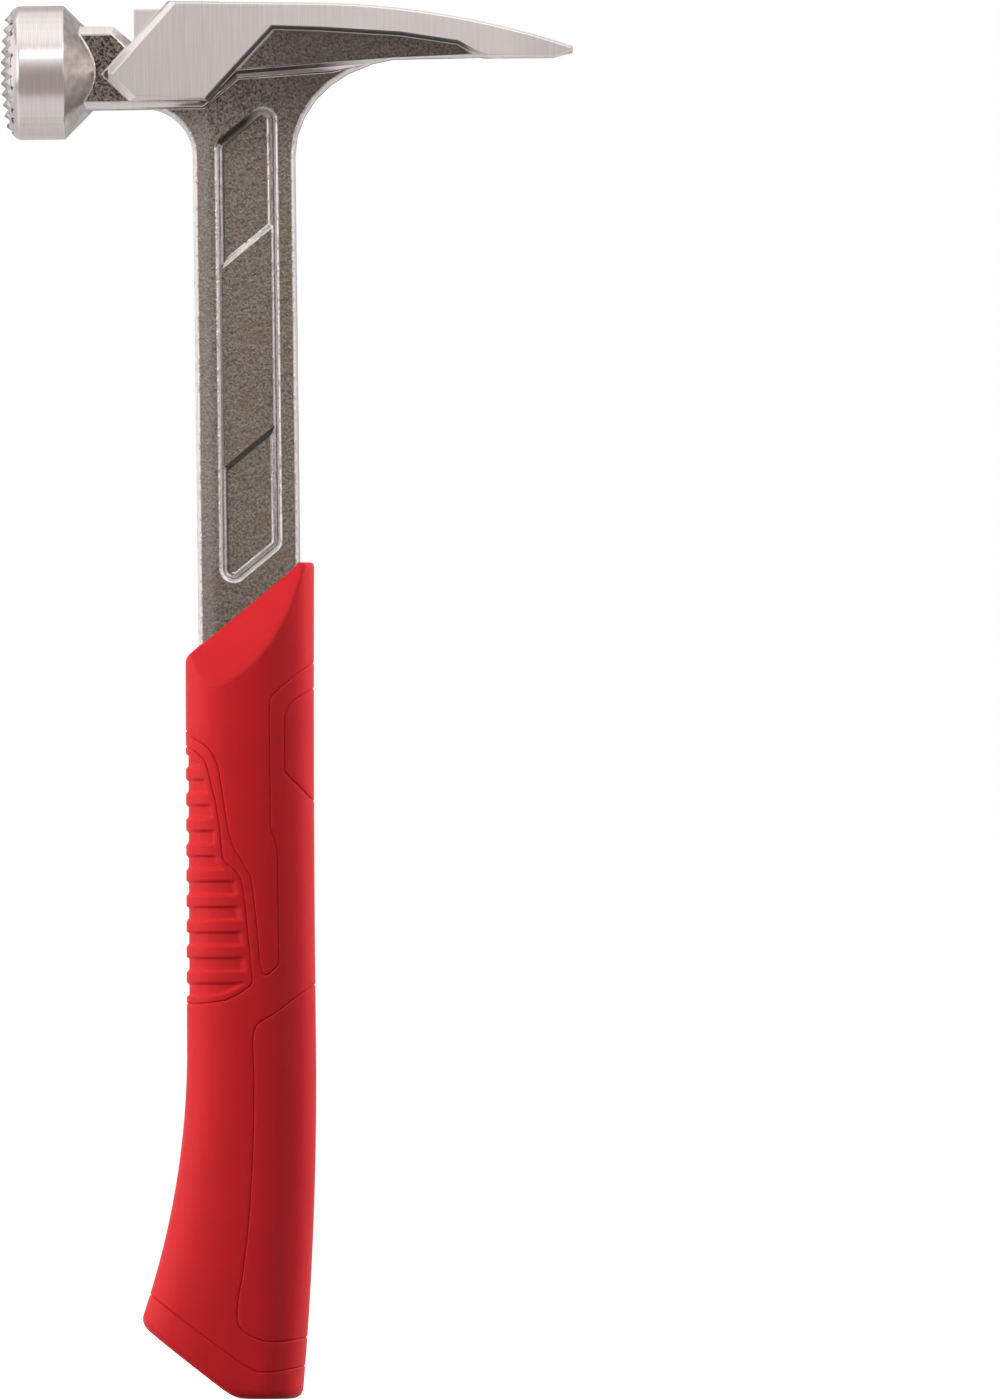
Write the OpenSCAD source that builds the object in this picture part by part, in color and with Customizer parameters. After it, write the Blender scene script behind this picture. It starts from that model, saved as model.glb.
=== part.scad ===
// Framing hammer with a milled face: a one-piece steel forging with a magnet in its nail starter,
// and a moulded grip made of a hard core, a collar, a sleeve, three soft panels and a butt cap.
// Z runs up the handle, the striking face looks along minus X and the claws point along plus X.

/* [Overall] */
// Height from the butt to the top of the head
overall_h = 381; // [372:1:392]
// Reach of the tooth tips from the middle of the shaft
face_reach = 66.3; // [64:0.1:70]
// Reach of the claw tips from the middle of the shaft
claw_reach = 90; // [86:0.5:96]
// Slope of every slanted line on shaft, grip and butt
slash_angle = 39; // [36:1:42]

/* [Poll] */
// Diameter of the poll
poll_d = 36.7; // [35:0.1:38]
// Height of the top of the head above the poll's axis
crown_rise = 18.8; // [18.6:0.1:20]
// Length of the poll's cylinder with its bevel
poll_l = 17.6; // [16:0.1:19]
// Width of the bevel round the face
face_bevel = 3.3; // [2.6:0.1:4]
// Radius of the crowned face
crown_r = 75; // [60:1:120]
// Distance between the rows of milled teeth
tooth_pitch = 2.92; // [2.8:0.02:3.2]
// Height of a milled tooth
tooth_h = 1.6; // [1:0.1:1.9]

/* [Neck and nail starter] */
// Thickness of the neck and of the claws' recessed sides
body_t = 20; // [19:0.5:22]
// Height of the neck's top above the poll's axis
neck_rise = 12.1; // [11.5:0.1:13]
// Depth of the neck's underside below the poll's axis
neck_drop = 10.3; // [9.8:0.1:11]
// Width of the bevels along the neck
neck_bevel = 1.7; // [1.2:0.1:2.2]
// Width of the nail groove
groove_w = 5.2; // [4.6:0.1:6]
// Distance from the middle of the shaft to the wall that stops the nail's head
stop_reach = 29.55; // [29:0.05:30.5]
// Width of the stop block
stop_w = 16; // [14:0.5:18]
// Diameter of the magnet
magnet_d = 5; // [4:0.1:5.5]
// Thickness of the magnet
magnet_t = 4; // [3:0.1:5]

/* [Cheeks and claws] */
// Thickness across the two ground cheeks
cheek_t = 24; // [23:0.5:26]
// Distance from the middle of the shaft to the cheek's front corner
cheek_reach = 38.2; // [37.5:0.1:39.5]
// Width of the bevels at the cheek's front
cheek_bevel = 1.9; // [1.4:0.1:2.4]
// Width of the bevels at the cheek's other edges
cheek_edge = 1.1; // [0.8:0.1:1.4]
// Radius of the arch along the top of the claws
claw_arch_r = 232; // [215:1:260]
// Height of the claws' underside above the poll's axis
claw_under = 2.5; // [2:0.1:3]
// Thickness of the claws at their tips
claw_tip_t = 1.3; // [1.1:0.1:1.6]
// Width of the nail slot at the claw tips
slot_w = 9.2; // [8:0.1:11]
// Width of the nail slot at its inner end
slot_end_w = 2; // [1.6:0.1:3]
// Length of the nail slot
slot_l = 52; // [44:1:56]

/* [Shaft] */
// Width of the shaft
shaft_w = 27.9; // [26.5:0.1:29]
// Thickness of the shaft's flanges
shaft_t = 13.5; // [12.5:0.1:14.5]
// Radius where the shaft meets the neck
neck_blend_r = 13.4; // [12.5:0.1:14.5]
// Width of the blend between shaft and claws
claw_blend_w = 29.7; // [27:0.1:31]
// Height of the blend between shaft and claws
claw_blend_h = 25.9; // [24.5:0.1:27]
// Width of the recess in each side of the shaft
recess_w = 16.6; // [15:0.1:18]
// Depth of the recess
recess_depth = 2.5; // [1.8:0.1:3.2]
// Width of the recess's sloping walls
recess_wall = 2.3; // [1.6:0.1:2.8]
// Length of the raised pad in the recess
pad_l = 57.3; // [48:0.5:64]
// Height of the raised pad above the recess's floor
pad_h = 0.9; // [0.5:0.1:1.3]

/* [Tang] */
// Width of the tang inside the grip
tang_w = 17; // [15:0.5:19]
// Thickness of the tang
tang_t = 8; // [7:0.5:9]
// Height of the tang's lower end above the butt
tang_foot = 26; // [22:1:34]
// Diameter of the locking holes through the tang
lock_d = 8; // [6:0.5:9]

/* [Grip] */
// Height of the grip's top above the butt
grip_h = 227.8; // [222:0.5:234]
// Thickness of the grip
grip_t = 26.6; // [25.5:0.1:28]
// Reach of the grip's front at its top
front_top = 17.4; // [17:0.1:18.5]
// Reach of the grip's front where the flare starts
front_low = 18.5; // [18:0.1:19.5]
// Reach of the grip's rear at its top
rear_top = 17.75; // [17:0.1:18.5]
// Reach of the grip's rear where the flare starts
rear_low = 16.7; // [16:0.1:17.5]
// Height at which the flare towards the butt starts
flare_z = 98; // [92:1:106]
// Radius of the flare at the front
flare_r = 225; // [205:1:260]
// Radius of the curve at the rear
rear_r = 1000; // [800:10:1400]
// Slope of the bevels that close the grip's top on the shaft
lip_angle = 27.8; // [25:0.2:32]
// Thickness of the collar and of the sleeve
skin_t = 3; // [2.6:0.1:3.4]
// Thickness of the panels set into the sleeve
panel_t = 1.8; // [1.5:0.1:2.1]
// Gap between two moulded pieces
seam = 0.4; // [0.2:0.05:0.6]
// Distance from the middle of the shaft to where the slanted end turns level
butt_toe = 6.6; // [5:0.1:8]
// Thickness of the butt cap
cap_t = 8; // [7:0.1:9.5]

/* [Ribs under the fingers] */
// Number of recesses between the ribs
rib_count = 10; // [8:1:11]
// Distance from one rib to the next
rib_pitch = 6.93; // [6.4:0.01:7.1]
// Height of a recess between two ribs
rib_gap = 4.3; // [3.8:0.1:4.8]
// Depth of the recesses between the ribs
rib_depth = 0.8; // [0.5:0.1:1]
// Width of the plain border round the ribs
rib_border = 1.7; // [1.2:0.1:2.2]

/* [Hidden] */

// Overrun of every cut past the face that it opens
over = 1;
// Gap between the steel and what is moulded or set on it
fit = 0.05;
// Largest step of an arc in an outline, in degrees
arc_step = 12;

// The shaft's middle is moved so that the origin lies under the middle of the whole hammer
shaft_x = (face_reach - claw_reach) / 2;
axis_z = overall_h - crown_rise;
slash = tan(slash_angle);

// Poll: its profile is measured from the middle of the shaft towards the face
poll_r = poll_d / 2;
poll_rear = face_reach - poll_l;
poll_core_r = 8;
// Height of the bevel's softened corner on the cylinder
bevel_soft = 0.6;
crown_drop = pow(poll_r - face_bevel, 2) / (2 * crown_r);
bevel_front = face_reach - crown_drop;
tooth_cells = 13;

// Neck, groove and stop
neck_root = poll_rear + neck_bevel;
groove_floor = neck_rise - 0.1 * groove_w;
groove_end = stop_reach + 0.7 * groove_w;
neck_top_end = 35.1;
notch_angle = 45;
magnet_x = (neck_top_end + poll_rear - poll_r + neck_rise) / 2;
stop_rise = 16.8;
stop_l = 11.5;

// Cheek corners and the claws' bright band: shares of the claws' reach and of the head's rise
cheek_corner_share = [[-0.343, -0.436], [-0.096, -0.457], [-0.010, -0.027], [0.083, 0.622]];
band_share = [[0.234, 0.596], [0.477, 0.511], [0.658, 0.372], [0.733, 0.229]];
band_end_share = 0.785;
crown_front_share = 0.531;
arch_start_share = 0.207;
crown_fall = 0.8;
crown_front = crown_front_share * cheek_reach;
arch_start = arch_start_share * claw_reach;
arch_steps = 12;
top_edge = 0.4;
band_edge = 0.9;
tip_bevel_l = 5.5;

// The ledge that bounds the head's body above the shaft: shares as for the cheek
ledge_share = [[-0.120, -0.548], [-0.016, -0.128], [0.267, -0.048], [0.455, 0.130], [0.844, 0.146]];
inner_share = [[0.844, 0.29], [0.667, 0.48], [0.444, 0.66], [0.111, 0.77], [-0.211, 0.77]];
foot_t = shaft_t + 0.5;
slot_bevel = 1.2;

// Shaft and its recess, which lies a little nearer to the claws
flange_edge = 0.9;
blend_z = axis_z - neck_drop - neck_blend_r;
blend_sink = 0.15;
claw_blend_end = 0.74 * claw_blend_w;
hidden_rise = 5;
recess_x = 0.6;
recess_drop = 20;
recess_foot = 9;
recess_r = 3.6;
pad_slope = 1.3;
shoulder_z = grip_h - 28;
shoulder_h = 9;
tang_r = 4;
lock_shares = [0.24, 0.56, 0.86];

// Grip: the half thickness follows shares of the grip's height and thickness
thick_share = [[0, 0.53], [0.12, 0.525], [0.3, 0.49], [0.5, 0.485], [0.8, 0.5], [1.05, 0.505]];
level_share = [-0.02, 0.06, 0.115, 0.165, 0.215, 0.265, 0.315, 0.365, 0.43, 0.5, 0.65, 0.8, 1.05];
front_power = 2.7;
rear_power = 2.1;
section_points = 36;
lip_x = -12.8;
lip_z = grip_h - 21.6;
lip_reach = 60;
core_top = shoulder_z - shoulder_h - over;
butt_edge = 2.4;
butt_corner_r = 3;

// Outlines of the moulded pieces from the side: the height is a share of the grip's height,
// the place across is a share of the grip's front or rear reach
collar_share = [[1.2, 1.1], [-1.2, 1.1], [-1.2, 0.806], [-0.72, 0.785], [-0.57, 0.773], [-0.49, 0.756],
    [-0.34, 0.675], [-0.26, 0.656], [-0.02, 0.626], [0.14, 0.512], [0.28, 0.5065], [0.41, 0.516],
    [0.41, 0.656], [0.30, 0.683], [0.31, 0.839], [1.2, 0.890]];
finger_share = [[-1.2, 0.4745], [-0.69, 0.4745], [-0.41, 0.4775], [-0.20, 0.4865], [-0.03, 0.498],
    [-0.11, 0.591], [-0.20, 0.629], [-0.41, 0.643], [-0.47, 0.684], [-0.53, 0.716], [-0.68, 0.764],
    [-0.80, 0.7745], [-1.2, 0.787]];
thumb_share = [[1.2, 0.859], [0.64, 0.833], [0.53, 0.816], [0.53, 0.749], [0.64, 0.741], [1.2, 0.705]];
palm_share = [[1.2, 0.514], [0.60, 0.476], [0.03, 0.447], [-0.03, 0.427], [-0.02, 0.334], [-0.08, 0.232],
    [-0.24, 0.148], [-0.31, 0.094], [-0.20, 0.079], [0.12, 0.0695], [0.55, 0.0695], [1.2, 0.078]];
rib_top_share = 0.773;

function unit(v) = v / norm(v);
function left_of(u) = [-u.y, u.x];
function flat(p) = [p.x, p.y];
function wrap(i, n) = (i + n) % n;

// Outline with each corner [x, z, r] turned into an arc of radius r
function corner_arc(a, b, c, r) = let (
        u = unit(a - b), v = unit(c - b), half = acos(u * v) / 2,
        mid = b + unit(u + v) * r / sin(half), start = b + u * r / tan(half) - mid,
        turn = (180 - 2 * half) * (cross(-u, v) > 0 ? 1 : -1), steps = max(2, ceil(abs(turn) / arc_step)))
    [for (k = [0:steps]) let (t = turn * k / steps)
        mid + [start.x * cos(t) - start.y * sin(t), start.x * sin(t) + start.y * cos(t)]];

function rounded(p) = [for (i = [0:len(p) - 1]) let (
        n = len(p), a = flat(p[wrap(i - 1, n)]), b = flat(p[i]), c = flat(p[wrap(i + 1, n)]))
    each p[i].z == 0 ? [b] : corner_arc(a, b, c, p[i].z)];

// Outline drawn in by the run that its edges carry: each point is [x, z, run of the edge that leaves it]
function drawn_in(e) = [for (i = [0:len(e) - 1]) let (
        n = len(e), a = flat(e[wrap(i - 1, n)]), b = flat(e[i]), c = flat(e[wrap(i + 1, n)]),
        d1 = e[wrap(i - 1, n)].z, d2 = e[i].z,
        n1 = left_of(unit(b - a)), n2 = left_of(unit(c - b)), k = n1 * n2)
    k > 0.9995 ? b + n1 * (d1 + d2) / 2 : b + ((d1 - d2 * k) * n1 + (d2 - d1 * k) * n2) / (1 - k * k)];

// Triangles that fill an outline, cut off one ear at a time
function turn_at(a, b, c) = (b.x - a.x) * (c.y - a.y) - (b.y - a.y) * (c.x - a.x);
function covers(q, a, b, c) = turn_at(a, b, q) >= 0 && turn_at(b, c, q) >= 0 && turn_at(c, a, q) >= 0;
function is_ear(p, r, i) = let (n = len(r), a = r[wrap(i - 1, n)], b = r[i], c = r[wrap(i + 1, n)])
    turn_at(p[a], p[b], p[c]) > 0
    && len([for (k = r) if (k != a && k != b && k != c && covers(p[k], p[a], p[b], p[c])) k]) == 0;
function ear_from(p, r, i) = i >= len(r) - 1 || is_ear(p, r, i) ? i : ear_from(p, r, i + 1);
function ears(p, r) = len(r) < 4 ? [r] : let (n = len(r), i = ear_from(p, r, 0))
    concat([[r[wrap(i - 1, n)], r[i], r[wrap(i + 1, n)]]], ears(p, [for (k = [0:n - 1]) if (k != i) r[k]]));

// Plate across Y with sloping edges: full outline over foot_w, drawn in to each face over face_w
module bevel_plate(e, foot_w, face_w) {
    n = len(e);
    outer = [for (p = e) flat(p)];
    inner = drawn_in(e);
    ring = [[inner, -face_w / 2], [outer, -foot_w / 2], [outer, foot_w / 2], [inner, face_w / 2]];
    caps = ears(inner, [for (i = [0:n - 1]) i]);
    polyhedron(
        [for (r = ring) each [for (p = r[0]) [p.x, r[1], p.y]]],
        concat(
            [for (t = caps) [t[2], t[1], t[0]]],
            [for (k = [0:2], i = [0:n - 1]) let (j = (i + 1) % n) each
                [[k * n + i, k * n + j, (k + 1) * n + j], [k * n + i, (k + 1) * n + j, (k + 1) * n + i]]],
            [for (t = caps) [for (v = t) 3 * n + v]]));
}

module side_prism(points, width) {
    rotate([90, 0, 0]) linear_extrude(width, center = true) polygon(points);
}

module on_shaft() {
    translate([shaft_x, 0, 0]) children();
}

module on_axis() {
    translate([shaft_x, 0, axis_z]) children();
}

// Height of the crowned face's valleys and tips at a distance r from the poll's axis
function crown_at(r) = face_reach - r * r / (2 * crown_r);

// Square block whose front is a field of four-sided teeth on the crown
module milled_block() {
    n = tooth_cells;
    m = n + 1;
    valley = [for (i = [0:n], j = [0:n]) let (x = (i - n / 2) * tooth_pitch, y = (j - n / 2) * tooth_pitch)
        [x, y, crown_at(norm([x, y])) - tooth_h]];
    tip = [for (i = [0:n - 1], j = [0:n - 1]) let (
            x = (i - (n - 1) / 2) * tooth_pitch, y = (j - (n - 1) / 2) * tooth_pitch)
        [x, y, crown_at(norm([x, y]))]];
    side = n / 2 * tooth_pitch;
    back = poll_rear - poll_r;
    base = [[-side, -side, back], [side, -side, back], [side, side, back], [-side, side, back]];
    b = m * m + n * n;
    polyhedron(
        concat(valley, tip, base),
        concat(
            [for (i = [0:n - 1], j = [0:n - 1]) let (
                    t = m * m + i * n + j, a = i * m + j, c = a + m)
                each [[a, a + 1, t], [a + 1, c + 1, t], [c + 1, c, t], [c, a, t]]],
            [for (i = [0:n - 1]) each [
                [b, i * m, (i + 1) * m], [b + 3, (i + 1) * m + n, i * m + n],
                [b, i + 1, i], [b + 1, n * m + i, n * m + i + 1]]],
            [[b, n * m, b + 1], [b + 3, b + 2, m * m - 1], [b, b + 3, n], [b + 1, m * m - 1, b + 2],
                [b, b + 1, b + 2], [b, b + 2, b + 3]]));
}

// Poll: cylinder with a bevel at the face and a cone at the rear, cut by the milled block
module poll() {
    rotate([0, -90, 0]) intersection() {
        rotate_extrude($fn = 96) polygon([
            [0, poll_rear - poll_r + poll_core_r], [poll_core_r, poll_rear - poll_r + poll_core_r],
            [poll_r, poll_rear], [poll_r, bevel_front - face_bevel - bevel_soft],
            [poll_r - bevel_soft, bevel_front - face_bevel + bevel_soft],
            [poll_r - face_bevel - over, bevel_front + over], [poll_r - face_bevel - over, face_reach + over],
            [0, face_reach + over]]);
        milled_block();
    }
}

// Top of the claws: a circle that goes on from the crown's slightly falling line
crown_slope = atan(crown_fall / (arch_start + crown_front));
arch_mid = [arch_start - claw_arch_r * sin(crown_slope), crown_rise - crown_fall - claw_arch_r * cos(crown_slope)];
arch_end = asin((claw_reach - arch_mid.x) / claw_arch_r);
tip_rise = arch_mid.y + claw_arch_r * cos(arch_end);
claw_arch = [for (k = [0:arch_steps]) let (t = arch_end + (crown_slope - arch_end) * k / arch_steps)
    arch_mid + claw_arch_r * [sin(t), cos(t)]];

function on_head(s) = [s.x * claw_reach, s.y * crown_rise];

// Ground cheek with the bright band that runs on along the claws
module cheek() {
    low = [for (s = cheek_corner_share) on_head(s)];
    band = [for (s = band_share) on_head(s)];
    edges = concat(
        [[-cheek_reach, -0.05 * crown_rise, cheek_bevel], [low[0].x, low[0].y, cheek_edge],
            [low[1].x, low[1].y, cheek_edge], [low[2].x, low[2].y, cheek_edge], [low[3].x, low[3].y, band_edge]],
        [for (p = band) [p.x, p.y, band_edge]],
        [[band_end_share * claw_reach, claw_under, top_edge], [claw_reach - tip_bevel_l, claw_under, top_edge],
            [claw_reach, tip_rise - claw_tip_t, top_edge]],
        [for (p = claw_arch) [p.x, p.y, top_edge]],
        [[-crown_front, crown_rise, cheek_bevel]]);
    bevel_plate(edges, body_t, cheek_t);
}

// Body of the head under the cheeks: neck, ledge above the shaft and the claws' recessed sides
module body() {
    ledge = [for (s = ledge_share) on_head(s)];
    inner = [for (s = inner_share) on_head(s)];
    notch = neck_rise - (neck_top_end - stop_reach + neck_bevel) * tan(notch_angle);
    edges = concat(
        [[-neck_root, -neck_drop, neck_bevel], [ledge[0].x, -neck_drop, neck_bevel]],
        [for (i = [1:3]) [ledge[i].x, ledge[i].y, neck_bevel]],
        [[ledge[4].x, ledge[4].y, 0]],
        [for (p = inner) [p.x, p.y, 0]],
        [[neck_bevel - stop_reach, notch, neck_bevel], [-neck_top_end, neck_rise, neck_bevel],
            [-neck_root, neck_rise, 0]]);
    bevel_plate(edges, foot_t, body_t);
}

// Flanged plate of the shaft, with the blends to neck and claws
module shaft_plate(grow) {
    w = shaft_w / 2 + grow;
    r = neck_blend_r;
    claw_blend = [for (t = [0:arc_step:90]) let (x = w + claw_blend_w * (1 - cos(t)))
        if (x < w + claw_blend_end) [x, blend_z + claw_blend_h * sin(t)]];
    neck_blend = [for (t = [90:-arc_step / 2:0])
        [-w - r + r * cos(t), blend_z + blend_sink + r * sin(t)]];
    last = claw_blend[len(claw_blend) - 1];
    points = concat(
        [[-tang_w / 2 - grow, shoulder_z - shoulder_h], [tang_w / 2 + grow, shoulder_z - shoulder_h],
            [w, shoulder_z]],
        claw_blend,
        [[last.x + hidden_rise, axis_z + hidden_rise], [-shaft_w / 2, axis_z + hidden_rise],
            [-w - r, axis_z - neck_drop + hidden_rise]],
        neck_blend,
        [[-w, shoulder_z]]);
    bevel_plate([for (p = points) [p.x, p.y, flange_edge]],
        shaft_t - 2 * flange_edge + 2 * grow, shaft_t + 2 * grow);
}

// Tang with a rounded lower end
module tang(grow) {
    w = tang_w / 2 + grow;
    bevel_plate([for (p = rounded([
            [-w, shoulder_z, 0], [-w, tang_foot - grow, tang_r], [w, tang_foot - grow, tang_r],
            [w, shoulder_z, 0]])) [p.x, p.y, flange_edge]],
        tang_t - 2 * flange_edge + 2 * grow, tang_t + 2 * grow);
}

function lock_z(share) = tang_foot + share * (shoulder_z - tang_foot);

module lock_pegs(d) {
    for (s = lock_shares) translate([0, 0, lock_z(s)]) rotate([90, 0, 0])
        cylinder(d = d, h = tang_t + 2 * over, center = true, $fn = 48);
}

// Slanted outline between two heights on the left edge, rounded, as used for recess and pad
function slanted(w, z0, z1, r) = rounded([
    [recess_x - w / 2, z0, r], [recess_x + w / 2, z0 + w * slash, r],
    [recess_x + w / 2, z1 + w * slash, r], [recess_x - w / 2, z1, r]]);

module slanted_frustum(low, high, y0, y1) {
    hull() {
        translate([0, y0, 0]) side_prism(low, over / 10);
        translate([0, y1, 0]) side_prism(high, over / 10);
    }
}

// What is cut from one side of the shaft: the sloping recess less the raised pad on its floor
module recess_cut() {
    top = axis_z - recess_drop;
    foot = grip_h - recess_foot;
    half = shaft_t / 2;
    wall = recess_wall;
    rise = wall * slash;
    lean = recess_wall / recess_depth * over;
    difference() {
        slanted_frustum(
            slanted(recess_w - 2 * wall, foot + wall / cos(slash_angle) + rise,
                top - wall / cos(slash_angle) + rise, recess_r - wall),
            slanted(recess_w + 2 * lean, foot - lean / cos(slash_angle) - lean * slash,
                top + lean / cos(slash_angle) - lean * slash, recess_r + lean),
            half - recess_depth + over / 20, half + over);
        slanted_frustum(
            slanted(recess_w + 2 * over, (top + foot - pad_l) / 2 - over * slash,
                (top + foot + pad_l) / 2 - over * slash, over),
            slanted(recess_w + 2 * over, (top + foot - pad_l) / 2 + pad_slope - over * slash,
                (top + foot + pad_l) / 2 - pad_slope - over * slash, over),
            half - recess_depth - over, half - recess_depth + pad_h);
    }
}

// Groove that guides the nail along the top of poll and neck, and the magnet's pocket in its floor
module nail_groove() {
    translate([-face_reach - over, 0, groove_floor + groove_w / 2]) {
        rotate([0, 90, 0]) cylinder(d = groove_w, h = face_reach + over - groove_end, $fn = 48);
        translate([0, -groove_w / 2, 0]) cube([face_reach + over - groove_end, groove_w, poll_r]);
    }
    translate([-magnet_x, 0, groove_floor - magnet_t])
        cylinder(d = magnet_d + 2 * fit, h = magnet_t + over, $fn = 48);
}

// Slot between the claws, with bevels on its lower edges that slide under a nail's head
module nail_slot() {
    x0 = claw_reach - slot_l;
    low = claw_under - 2 * over;
    translate([0, 0, low]) {
        linear_extrude(crown_rise) polygon([[x0, -slot_end_w / 2], [claw_reach + over, -slot_w / 2],
            [claw_reach + over, slot_w / 2], [x0, slot_end_w / 2]]);
        translate([x0, 0, 0]) cylinder(d = slot_end_w, h = crown_rise, $fn = 48);
    }
    hull() {
        translate([0, 0, low]) slot_shape(slot_bevel + 2 * over);
        translate([0, 0, claw_under + slot_bevel]) slot_shape(0);
    }
}

module slot_shape(grow) {
    x0 = claw_reach - slot_l;
    linear_extrude(over / 10) polygon([[x0 - grow, -slot_end_w / 4 - grow / 2],
        [claw_reach + over, -slot_w / 2 - grow], [claw_reach + over, slot_w / 2 + grow],
        [x0 - grow, slot_end_w / 4 + grow / 2]]);
}

// Block whose front wall stops the nail's head
module stop_block() {
    translate([-stop_reach, -stop_w / 2, 0]) cube([stop_l, stop_w, stop_rise]);
}

module forging() {
    color("#8a827b") {
        difference() {
            union() {
                on_axis() {
                    poll();
                    body();
                    cheek();
                    stop_block();
                }
                on_shaft() {
                    shaft_plate(0);
                    tang(0);
                }
            }
            on_axis() {
                nail_groove();
                nail_slot();
            }
            on_shaft() {
                recess_cut();
                mirror([0, 1, 0]) recess_cut();
                lock_pegs(lock_d);
            }
        }
    }
}

module nail_magnet() {
    color("#c9c9cc") on_axis() translate([-magnet_x, 0, groove_floor - magnet_t + fit])
        cylinder(d = magnet_d, h = magnet_t - 2 * fit, $fn = 48);
}

// Reach of the grip's front and rear at a height z
function rise_at(z) = max(0, (z - flare_z) / (grip_h - flare_z));
function fall_at(z, r) = z < flare_z ? r - sqrt(r * r - pow(flare_z - z, 2)) : 0;
function front_at(z) = front_low + (front_top - front_low) * rise_at(z) + fall_at(z, flare_r);
function rear_at(z) = rear_low + (rear_top - rear_low) * pow(rise_at(z), 2) - fall_at(z, rear_r);
function half_t_at(z) = grip_t * lookup(z / grip_h, thick_share);

// Cross-section of the grip: blunt at the front and rounder at the rear
function bulge(c, p) = sign(c) * pow(abs(c), 2 / p);
function section(z, inset) = [for (i = [0:section_points - 1]) let (
        t = 360 * i / section_points, p = cos(t) > 0 ? rear_power : front_power,
        a = cos(t) > 0 ? rear_at(z) : front_at(z))
    [(a - inset) * bulge(cos(t), p), (half_t_at(z) - inset) * bulge(sin(t), p)]];

// Part of the grip's form between two levels, drawn in by inset
module grip_segment(z0, z1, inset) {
    n = section_points;
    hull() polyhedron(
        concat([for (p = section(z0, inset)) [p.x, p.y, z0]], [for (p = section(z1, inset)) [p.x, p.y, z1]]),
        concat([[for (i = [0:n - 1]) i], [for (i = [n - 1:-1:0]) n + i]],
            [for (i = [0:n - 1]) let (j = (i + 1) % n) [i, n + i, n + j, j]]));
}

module grip_form(inset) {
    for (i = [0:len(level_share) - 2])
        grip_segment(level_share[i] * grip_h, level_share[i + 1] * grip_h, inset);
}

// What the slanted top and its two bevels cut away
module above_lip() {
    drop = grip_t;
    half = shaft_t / 2;
    translate([lip_x, 0, lip_z]) rotate([0, -slash_angle, 0]) rotate([90, 0, 90])
        linear_extrude(2 * lip_reach, center = true) polygon([
            [-half - drop, -drop / tan(lip_angle)], [-half, 0], [half, 0],
            [half + drop, -drop / tan(lip_angle)], [half + drop, lip_reach], [-half - drop, lip_reach]]);
    translate([-lip_reach, -lip_reach, grip_h]) cube([2 * lip_reach, 2 * lip_reach, lip_reach]);
}

// Outline of the butt from the side: slanted at the front and level at the rear
butt_corner_z = (front_at(grip_h / 12) - butt_toe) * slash;
module butt_envelope() {
    out = lip_reach;
    e = [for (p = rounded([
            [-butt_toe, 0, butt_corner_r], [rear_at(0), 0, butt_corner_r], [rear_at(0) + over, 2 * over, over],
            [out, out, 0], [out, grip_h + out, 0], [-out, grip_h + out, 0],
            [-out, butt_corner_z + over, 0], [-butt_toe - butt_corner_z / slash, butt_corner_z, butt_corner_r]]))
        [p.x, p.y, butt_edge]];
    bevel_plate(e, grip_t - 3 * butt_edge, grip_t + butt_edge);
}

// The whole moulded grip with its top and butt shaped, drawn in by inset
module grip_body(inset) {
    difference() {
        intersection() {
            grip_form(inset);
            butt_envelope();
        }
        above_lip();
    }
}

function from_side(s) = [for (p = s) let (z = p.y * grip_h)
    [p.x * (p.x > 0 ? rear_at(z) : front_at(z)), z]];
function widened(p, d) = drawn_in([for (q = p) [q.x, q.y, -d]]);

// Space above the butt line, where the cap meets the other pieces
module above_cap(gap) {
    z0 = cap_t + gap;
    out = 2 * lip_reach;
    turn_x = -butt_toe + cap_t * (1 / cos(slash_angle) - 1) / slash;
    side_prism([[turn_x, z0], [out, z0], [out, grip_h + out], [-out, grip_h + out],
        [-out, z0 + (out + turn_x) * slash]], out);
}

// Shell of the grip between two depths below its surface
module shell(outer, inner) {
    difference() {
        grip_body(outer);
        grip_form(inner);
    }
}

module grip_core() {
    color("#2e2e30") on_shaft() difference() {
        union() {
            difference() {
                intersection() {
                    grip_form(skin_t + fit);
                    above_cap(fit);
                    translate([-lip_reach, -lip_reach, -over]) cube([2 * lip_reach, 2 * lip_reach, core_top + over]);
                }
                tang(fit);
            }
            lock_pegs(lock_d - 2 * fit);
        }
        shaft_plate(fit);
    }
}

module grip_collar() {
    color("#c4202b") on_shaft() difference() {
        intersection() {
            grip_body(0);
            side_prism(from_side(collar_share), 2 * grip_t);
        }
        intersection() {
            grip_form(skin_t);
            translate([-lip_reach, -lip_reach, -over])
                cube([2 * lip_reach, 2 * lip_reach, core_top + over + fit]);
        }
        shaft_plate(fit);
        tang(fit);
    }
}

module panel_pocket(share) {
    difference() {
        side_prism(widened(from_side(share), seam), 2 * grip_t);
        grip_form(panel_t + fit);
    }
}

module grip_sleeve() {
    color("#c91f2b") on_shaft() difference() {
        intersection() {
            shell(0, skin_t);
            above_cap(seam);
        }
        side_prism(widened(from_side(collar_share), seam), 2 * grip_t);
        panel_pocket(finger_share);
        panel_pocket(thumb_share);
        panel_pocket(palm_share);
    }
}

// One of the soft panels: the outer layer of the grip inside an outline
module panel(share) {
    intersection() {
        shell(0, panel_t);
        side_prism(from_side(share), 2 * grip_t);
    }
}

module finger_pad() {
    color("#d8303a") on_shaft() difference() {
        panel(finger_share);
        difference() {
            intersection() {
                side_prism(drawn_in([for (p = from_side(finger_share)) [p.x, p.y, rib_border]]), 2 * grip_t);
                for (i = [0:rib_count - 1])
                    translate([-2 * grip_t, -grip_t, rib_top_share * grip_h - i * rib_pitch - rib_gap])
                        cube([2 * grip_t, 2 * grip_t, rib_gap]);
            }
            grip_form(rib_depth);
        }
    }
}

module thumb_pad() {
    color("#b81c26") on_shaft() panel(thumb_share);
}

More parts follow.
